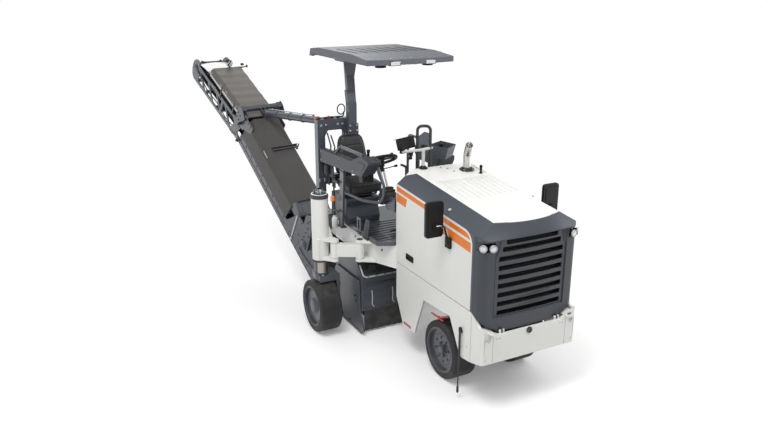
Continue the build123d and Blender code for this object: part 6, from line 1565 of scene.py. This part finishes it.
def column_pieces():
    """Dark caps with fittings, collars and gussets of the two lifting columns, wipers on the rams, caps on the arm."""
    x = COLUMN_X
    for name, body, toward, angles in (("right", "column_right", (0.852, 0.523), (38,)),
            ("left", "chassis", (0.0, -1.0), (-38, 38))):
        y = COLUMN_Y[name]
        cap = [turned([(1492, 88), (1492, 93), (1522, 93), (1534, 88), (1539, 70), (1539, 20)], (x, y, 0),
            (0, 0, 1), 56), turned([(800.5, 88), (801, 95), (818, 95), (822, 90.5)], (x, y, 0), (0, 0, 1), 56)]
        metal = [turned([(1538, 34), (1552, 34), (1554, 26), (1572, 26), (1574, 33), (1586, 33)], (x, y, 0),
            (0, 0, 1), 6), tube(bent([(x + 34, y - 20, 1540), (x + 34, y - 20, 1578), (x - 8, y - 44, 1578),
            (x - 40, y - 40, 1560), (x - 40, y - 40, 1540)], 14), 9, 12),
            tube(bent([(x + 44, y + 26, 1540), (x + 44, y + 26, 1566), (x + 6, y + 50, 1566),
            (x + 6, y + 50, 1540)], 12), 8, 12)]
        metal += [bolt((x + 60 * cos(a), y + 60 * sin(a), 1539), (0, 0, 1), 8, 8) for a in np.arange(6) * pi / 3]
        fins = []
        ahead = np.array((*toward, 0.0))
        for angle in angles:
            ray = rotation((0, 0, 1), angle) @ ahead
            fins.append(swept([(84, 1062), (128, 1062), (86, 1200)],
                [np.cross((0, 0, 1.0), ray) * s + (x, y, 0) for s in (-6, 6)], ray, (0, 0, 1)))
        piece("column_parts_" + name, body, [("slate_plastic", cap), ("grey_steel", metal),
            ("white_paint", fins)], bevel=1.2)
        wiper = [turned([(652.5, 72), (654, 80), (672, 80), (676, 72.3)], (x, y, 0), (0, 0, 1), 48)]
        inward = 1.0 if name == "right" else -1.0
        bolts = [bolt((x + dx, y - inward * 20, YOKE_TOP), (0, 0, 1), 10, 8) for dx in (-86, 86)]
        bolts += [bolt((x + 70 * cos(a), y + inward * 166, WHEEL_Z + 70 * sin(a)), (0, inward, 0), 9, 7)
            for a in np.arange(6) * pi / 3]
        eye = [prism("y", rounded([(x - 150, 600), (x - 104, 590), (x - 104, 648), (x - 130, 652)], 10, 3),
            y + inward * 60, y + inward * 84)]
        piece("leg_parts_" + name, "leg_" + name, [("slate_paint", joined(*wiper, *eye)), ("zinc", bolts)],
            bevel=1.2)

    rings = [turned(profile, (*pin, 0), (0, 0, 1), 40) for pin in SWING_PINS
        for profile in ([(868, 40), (868, 48), (876, 48), (878, 46.5)],
        [(1022, 46.5), (1024, 48), (1031.5, 48), (1031.5, 40)])]
    piece("swing_arm_rings", "swing_arm", [("white_paint", rings)], bevel=1.0)
    top = [turned([(1069, 34), (1071.5, 34), (1071.5, 24), (1069.5, 22)], (*SWING_PINS[0], 0), (0, 0, 1), 36,
        ring=True), disc((*SWING_PINS[0], 1070.4), (0, 0, 1), 22, 1.6, 28)]
    # dark discs laid on the deck side where its holes are: painted shade of the holes
    painted_hole_shade = [disc((-190, -577.5, 985), (0.398, -0.917, 0), 13, 5, 24),
        disc((-700, -641, 985), (0, -1, 0), 13, 4, 24)]
    lip = [rod((-1200, -642, DECK_LOW_Z), (-430, -642, DECK_LOW_Z), 9, 14),
        rod((-330, -642, DECK_LOW_Z), (-12, -500, DECK_LOW_Z), 9, 14)]
    heads = [bolt((x, -640, 860), (0, -1, 0), 8, 6) for x in (-1250, -1000, -800)]
    piece("deck_side_parts", "chassis", [("black_steel", joined(*top, *painted_hole_shade)), ("white_paint", lip),
        ("zinc", heads)], bevel=0.8)


HOUSING_X = -350.0            # front face of the drum housing
FLAP_Y, FLAP_Z = (-709.0, -161.0), (22.0, 268.0)
PICKS, DRUM_RADIUS = 46, 232.0
GOLDEN_TURN = 2.399           # each pick is turned on by this, radians


def housing_front():
    """Dark sheet painted as the shade of the recess over the drum housing, clamped pipe, panels, lines and bolts, and
    the flap's clamp bar.
    """
    # a thin dark sheet across the recess between the housing's front and the deck: painted shade
    recess_shade_sheet = swept(rectangle(0, 180, 0, 3), [(-351, -716, 672), (-351, -156, 672)], unit((-130, 0, 150)),
        unit((150, 0, 130)))
    pipe = tube(bent([(-420, -724, 762), (-334, -724, 668), (-334, -690, 646), (-334, -150, 646)], 26), 8, 14)
    clamps = [block(HOUSING_X, HOUSING_X + 28, y - 7, y + 7, 634, 660) for y in np.arange(-670.0, -170.0, 96.0)]
    boxes = [prism("x", rectangle(-640, -560, 700, 760, 8, 3), -404, -372),
             rod((-420, -520, 742), (-420, -240, 742), 16, 18), disc((-420, -520, 742), (0, 1, 0), 24, 26, 24, 3),
             disc((-420, -240, 742), (0, 1, 0), 24, 26, 24, 3)]
    skins = [block(HOUSING_X, HOUSING_X + 4, -722, -428, 286, 540),
        block(HOUSING_X, HOUSING_X + 4, -414, -150, 286, 540),
        block(HOUSING_X, HOUSING_X + 11, -728, -148, 548, 560),
        block(HOUSING_X, HOUSING_X + 7, -728, -148, 470, 476)]
    lines = [tube(bent([(-341, y, 478), (-341, y + 6, 400), (-341, y + 2, 320), (-341, y + 24, 290)], 20), 6,
        12) for y in (-620, -372)]
    heads = [bolt((HOUSING_X + 4, y, z), (1, 0, 0), 8, 7) for y in (-700, -450, -396, -170)
        for z in (310, 440, 520)]
    heads += [bolt((-338, y, 274), (1, 0, 0), 7, 6) for y in np.arange(-690.0, -160.0, 75.0)]
    bar = [block(HOUSING_X, HOUSING_X + 12, -716, -154, 262, 286)]
    piece("housing_front", "chassis", [("black_steel", joined(recess_shade_sheet, *boxes)),
        ("light_plate", joined(pipe, *lines)), ("slate_paint", joined(*skins, *bar)), ("grey_steel", clamps),
        ("black_steel", heads)], bevel=1.2)


def drum_flap():
    """The rubber flap ahead of the drum, in soft waves that grow towards its worn lower edge."""
    y, z = np.linspace(*FLAP_Y, 60), np.linspace(*FLAP_Z, 24)
    yy, zz = np.meshgrid(y, z, indexing="ij")
    fall = 1 - (zz - FLAP_Z[0]) / (FLAP_Z[1] - FLAP_Z[0])
    wave = 3.0 * fall * np.sin(yy * 0.031) * np.sin(yy * 0.0117 + 0.7) + 1.2 * fall * np.sin(yy * 0.09)
    low = FLAP_Z[0] + 5 * np.abs(np.sin(yy * 0.045)) * fall ** 6
    outer = np.stack([-340.5 + wave - 0.5, yy, np.maximum(zz, low)], 2)
    piece("drum_flap", "chassis", [("sheet_rubber", layered(outer, (-6.0, 0, 0)))],
        replaces=("front_flap",))


def protector_parts():
    """Bolt heads and a wear bar on each edge protector."""
    for name, side_y, side in (("right", -760.0, -1), ("left", -110.0, 1)):
        heads = [bolt((x, side_y, z), (0, side, 0), 10, 8)
            for x, z in ((-484, 400), (-444, 416), (-452, 352), (-860, 400), (-900, 352), (-620, 60), (-800, 60))]
        wear = [block(-920, -330, side_y, side_y + side * 6, 12, 34)]
        piece("protector_parts_" + name, "protector_" + name, [("black_steel", heads), ("grey_steel", wear)],
              bevel=1.0)


def drum_picks():
    """Picks in their holders, wound round the drum."""
    picks = []
    for n in range(PICKS):
        a = n * GOLDEN_TURN
        y = -705 + 540 * (n / (PICKS - 1))
        ray = np.array((cos(a), 0, sin(a)))
        along = np.array((-sin(a), 0, cos(a)))
        base = np.array((DRUM[0], y, DRUM[1])) + ray * DRUM_RADIUS
        picks.append(turned([(-4, 20), (14, 18), (30, 13), (40, 10)], base, unit(ray + along * 0.8), 10))
        picks.append(turned([(38, 9), (52, 6), (62, 1.5)], base, unit(ray + along * 0.8), 10))
    piece("drum_picks", "milling_drum", [("carbide", picks)])


def wheel_arch_parts():
    """Panels that close the front arches inwards, a red pipe and an upright sleeve by the right wheel."""
    panels = []
    for side in (-1, 1):
        panels.append(prism("y", rounded([(420, 592), (1180, 592), (1180, 860), (470, 860)], 30, 4), side * 300,
            side * 296))
        panels.append(swept(rectangle(0, 780, 0, 3), [(410, side * 300, 700), (410, side * 484, 700)], (1, 0, 0),
            (0, 0, 1)))
    red = [tube(bent([(640, -472, 600), (775, -472, 604), (950, -472, 692)], 30), 9, 14),
        rod((775, -472, 604), (850, -472, 600), 8, 14), disc((775, -472, 604), (0, 1, 0), 17, 20, 20, 2)]
    sleeve = [rod((1215, -526, 330), (1215, -526, 704), 8.5, 16),
        disc((1215, -526, 706), (0, 0, 1), 12, 12, 20, 2), block(1196, 1234, -530, -509, 660, 690)]
    piece("wheel_arch_parts", "chassis", [("light_plate", panels), ("red_paint", red), ("black_steel", sleeve)],
          bevel=1.0)


wheel_pieces()
column_pieces()
for build in (housing_front, drum_flap, protector_parts, drum_picks, wheel_arch_parts):
    build()

for cad_node, (finish_name, slot_name, width) in EASED.items():
    eased(cad_node, finish_name, width, zones=ZONES.get(cad_node, ()))


# ---------------------------------------------------------------- floor, lights and camera
def pale_floor():
    """A pale floor that shows white where it is lit and turns into the plain background further off."""
    floor = bpy.data.meshes.new("floor")
    floor.from_pydata([(x * FLOOR_HALF, y * FLOOR_HALF, 0) for x, y in ((-1, -1), (1, -1), (1, 1), (-1, 1))], [],
        [(0, 1, 2, 3)])
    ground = bpy.data.objects.new("floor", floor)
    bpy.context.scene.collection.objects.link(ground)
    pale = bpy.data.materials.new("pale_floor")
    pale.use_nodes = True
    tree = pale.node_tree
    shader = tree.nodes["Principled BSDF"]
    shader.inputs["Specular IOR Level"].default_value = 0.1
    rays = node(tree, "ShaderNodeLightPath")
    seen = math_node(tree, "MAXIMUM", rays.outputs["Is Camera Ray"],
        math_node(tree, "MAXIMUM", rays.outputs["Is Glossy Ray"], rays.outputs["Is Transmission Ray"]))
    speck = noise(tree, 6.0, 4.0, 0.6)
    x, y, _ = object_mm(tree)
    squares = [math_node(tree, "POWER", less(tree, *pair), 2.0) for pair in zip((x, y), FADE_CENTRE)]
    reach = math_node(tree, "SQRT", plus(tree, *squares))
    far = between(tree, reach, *FADE)
    base = mixed(tree, seen, (0.62, 0.62, 0.62), (0.92, 0.92, 0.92))
    base = mixed(tree, times(tree, far, rays.outputs["Is Camera Ray"]), base, (0.0, 0.0, 0.0))
    base = placed(tree, TONE, {"Colour": base, "Amount": 0.01, "Scale": 0.8})
    tree.links.new(base, shader.inputs["Base Color"])
    tree.links.new(plus(tree, 0.88, times(tree, speck, 0.08)), shader.inputs["Roughness"])
    glow = plus(tree, FLOOR_GLOW, times(tree, far, 1.0 - FLOOR_GLOW))
    tree.links.new(mixed(tree, times(tree, seen, glow), (0, 0, 0), (1, 1, 1)), shader.inputs["Emission Color"])
    shader.inputs["Emission Strength"].default_value = 1.0
    floor.materials.append(pale)


def soft_room():
    """An even pale surrounding, seen as white by the camera."""
    world = bpy.data.worlds.new("soft_room")
    bpy.context.scene.world = world
    world.use_nodes = True
    tree = world.node_tree
    sky = tree.nodes["Background"]
    rays = node(tree, "ShaderNodeLightPath")
    seen = math_node(tree, "MAXIMUM", rays.outputs["Is Camera Ray"], rays.outputs["Is Transmission Ray"])
    tree.links.new(mixed(tree, seen, (WORLD_LEVEL,) * 3, (1.0, 1.0, 1.0)), sky.inputs["Color"])
    sky.inputs["Strength"].default_value = 1.0


def soft_lamps():
    """Large lamps round the machine, each turned to its middle."""
    centre = (np.array(CAD_BOX[0]) + np.array(CAD_BOX[1])) / 2
    for name, place, size, power in LAMPS:
        lamp = bpy.data.lights.new(name, "AREA")
        lamp.shape, lamp.size, lamp.size_y, lamp.energy = "RECTANGLE", size[0], size[1], power
        holder = bpy.data.objects.new(name, lamp)
        holder.location = centre + np.array(place)
        holder.rotation_euler = (Vector(centre) - holder.location).to_track_quat("-Z", "Y").to_euler()
        bpy.context.scene.collection.objects.link(holder)


def camera_in_front():
    """The camera at the front right corner, and a plain view transform."""
    view = bpy.data.cameras.new("camera")
    view.lens, view.sensor_width, view.clip_end = CAMERA_LENS, 36.0, 200.0
    camera = bpy.data.objects.new("camera", view)
    camera.location = metres(CAMERA_PLACE)
    yaw, pitch = CAMERA_TURN
    ahead = Vector((-cos(yaw) * cos(pitch), sin(yaw) * cos(pitch), -sin(pitch)))
    camera.rotation_euler = ahead.to_track_quat("-Z", "Y").to_euler()
    bpy.context.scene.collection.objects.link(camera)
    bpy.context.scene.camera = camera
    bpy.context.scene.view_settings.view_transform = "Standard"


FLOOR_HALF = 40.0             # metres
FLOOR_GLOW = 0.16
FADE_CENTRE = (-1500.0, -300.0)
FADE = (2600.0, 7000.0)       # the floor turns into the plain white background over these distances
WORLD_LEVEL = 0.62
LAMPS = (("key", (3.5, -3.2, 6.5), (3.2, 3.2), 330.0), ("fill", (4.5, 3.5, 3.5), (4.0, 3.0), 90.0),
         ("back", (-5.5, 1.0, 4.5), (4.0, 3.0), 130.0))
CAMERA_PLACE = (6115.6, -3840.1, 3642.2)      # datum millimetres
CAMERA_TURN = (0.48044, 0.31186)              # yaw to the rear-left and pitch down, radians
CAMERA_LENS = 34.373
for build in (pale_floor, soft_room, soft_lamps, camera_in_front):
    build()
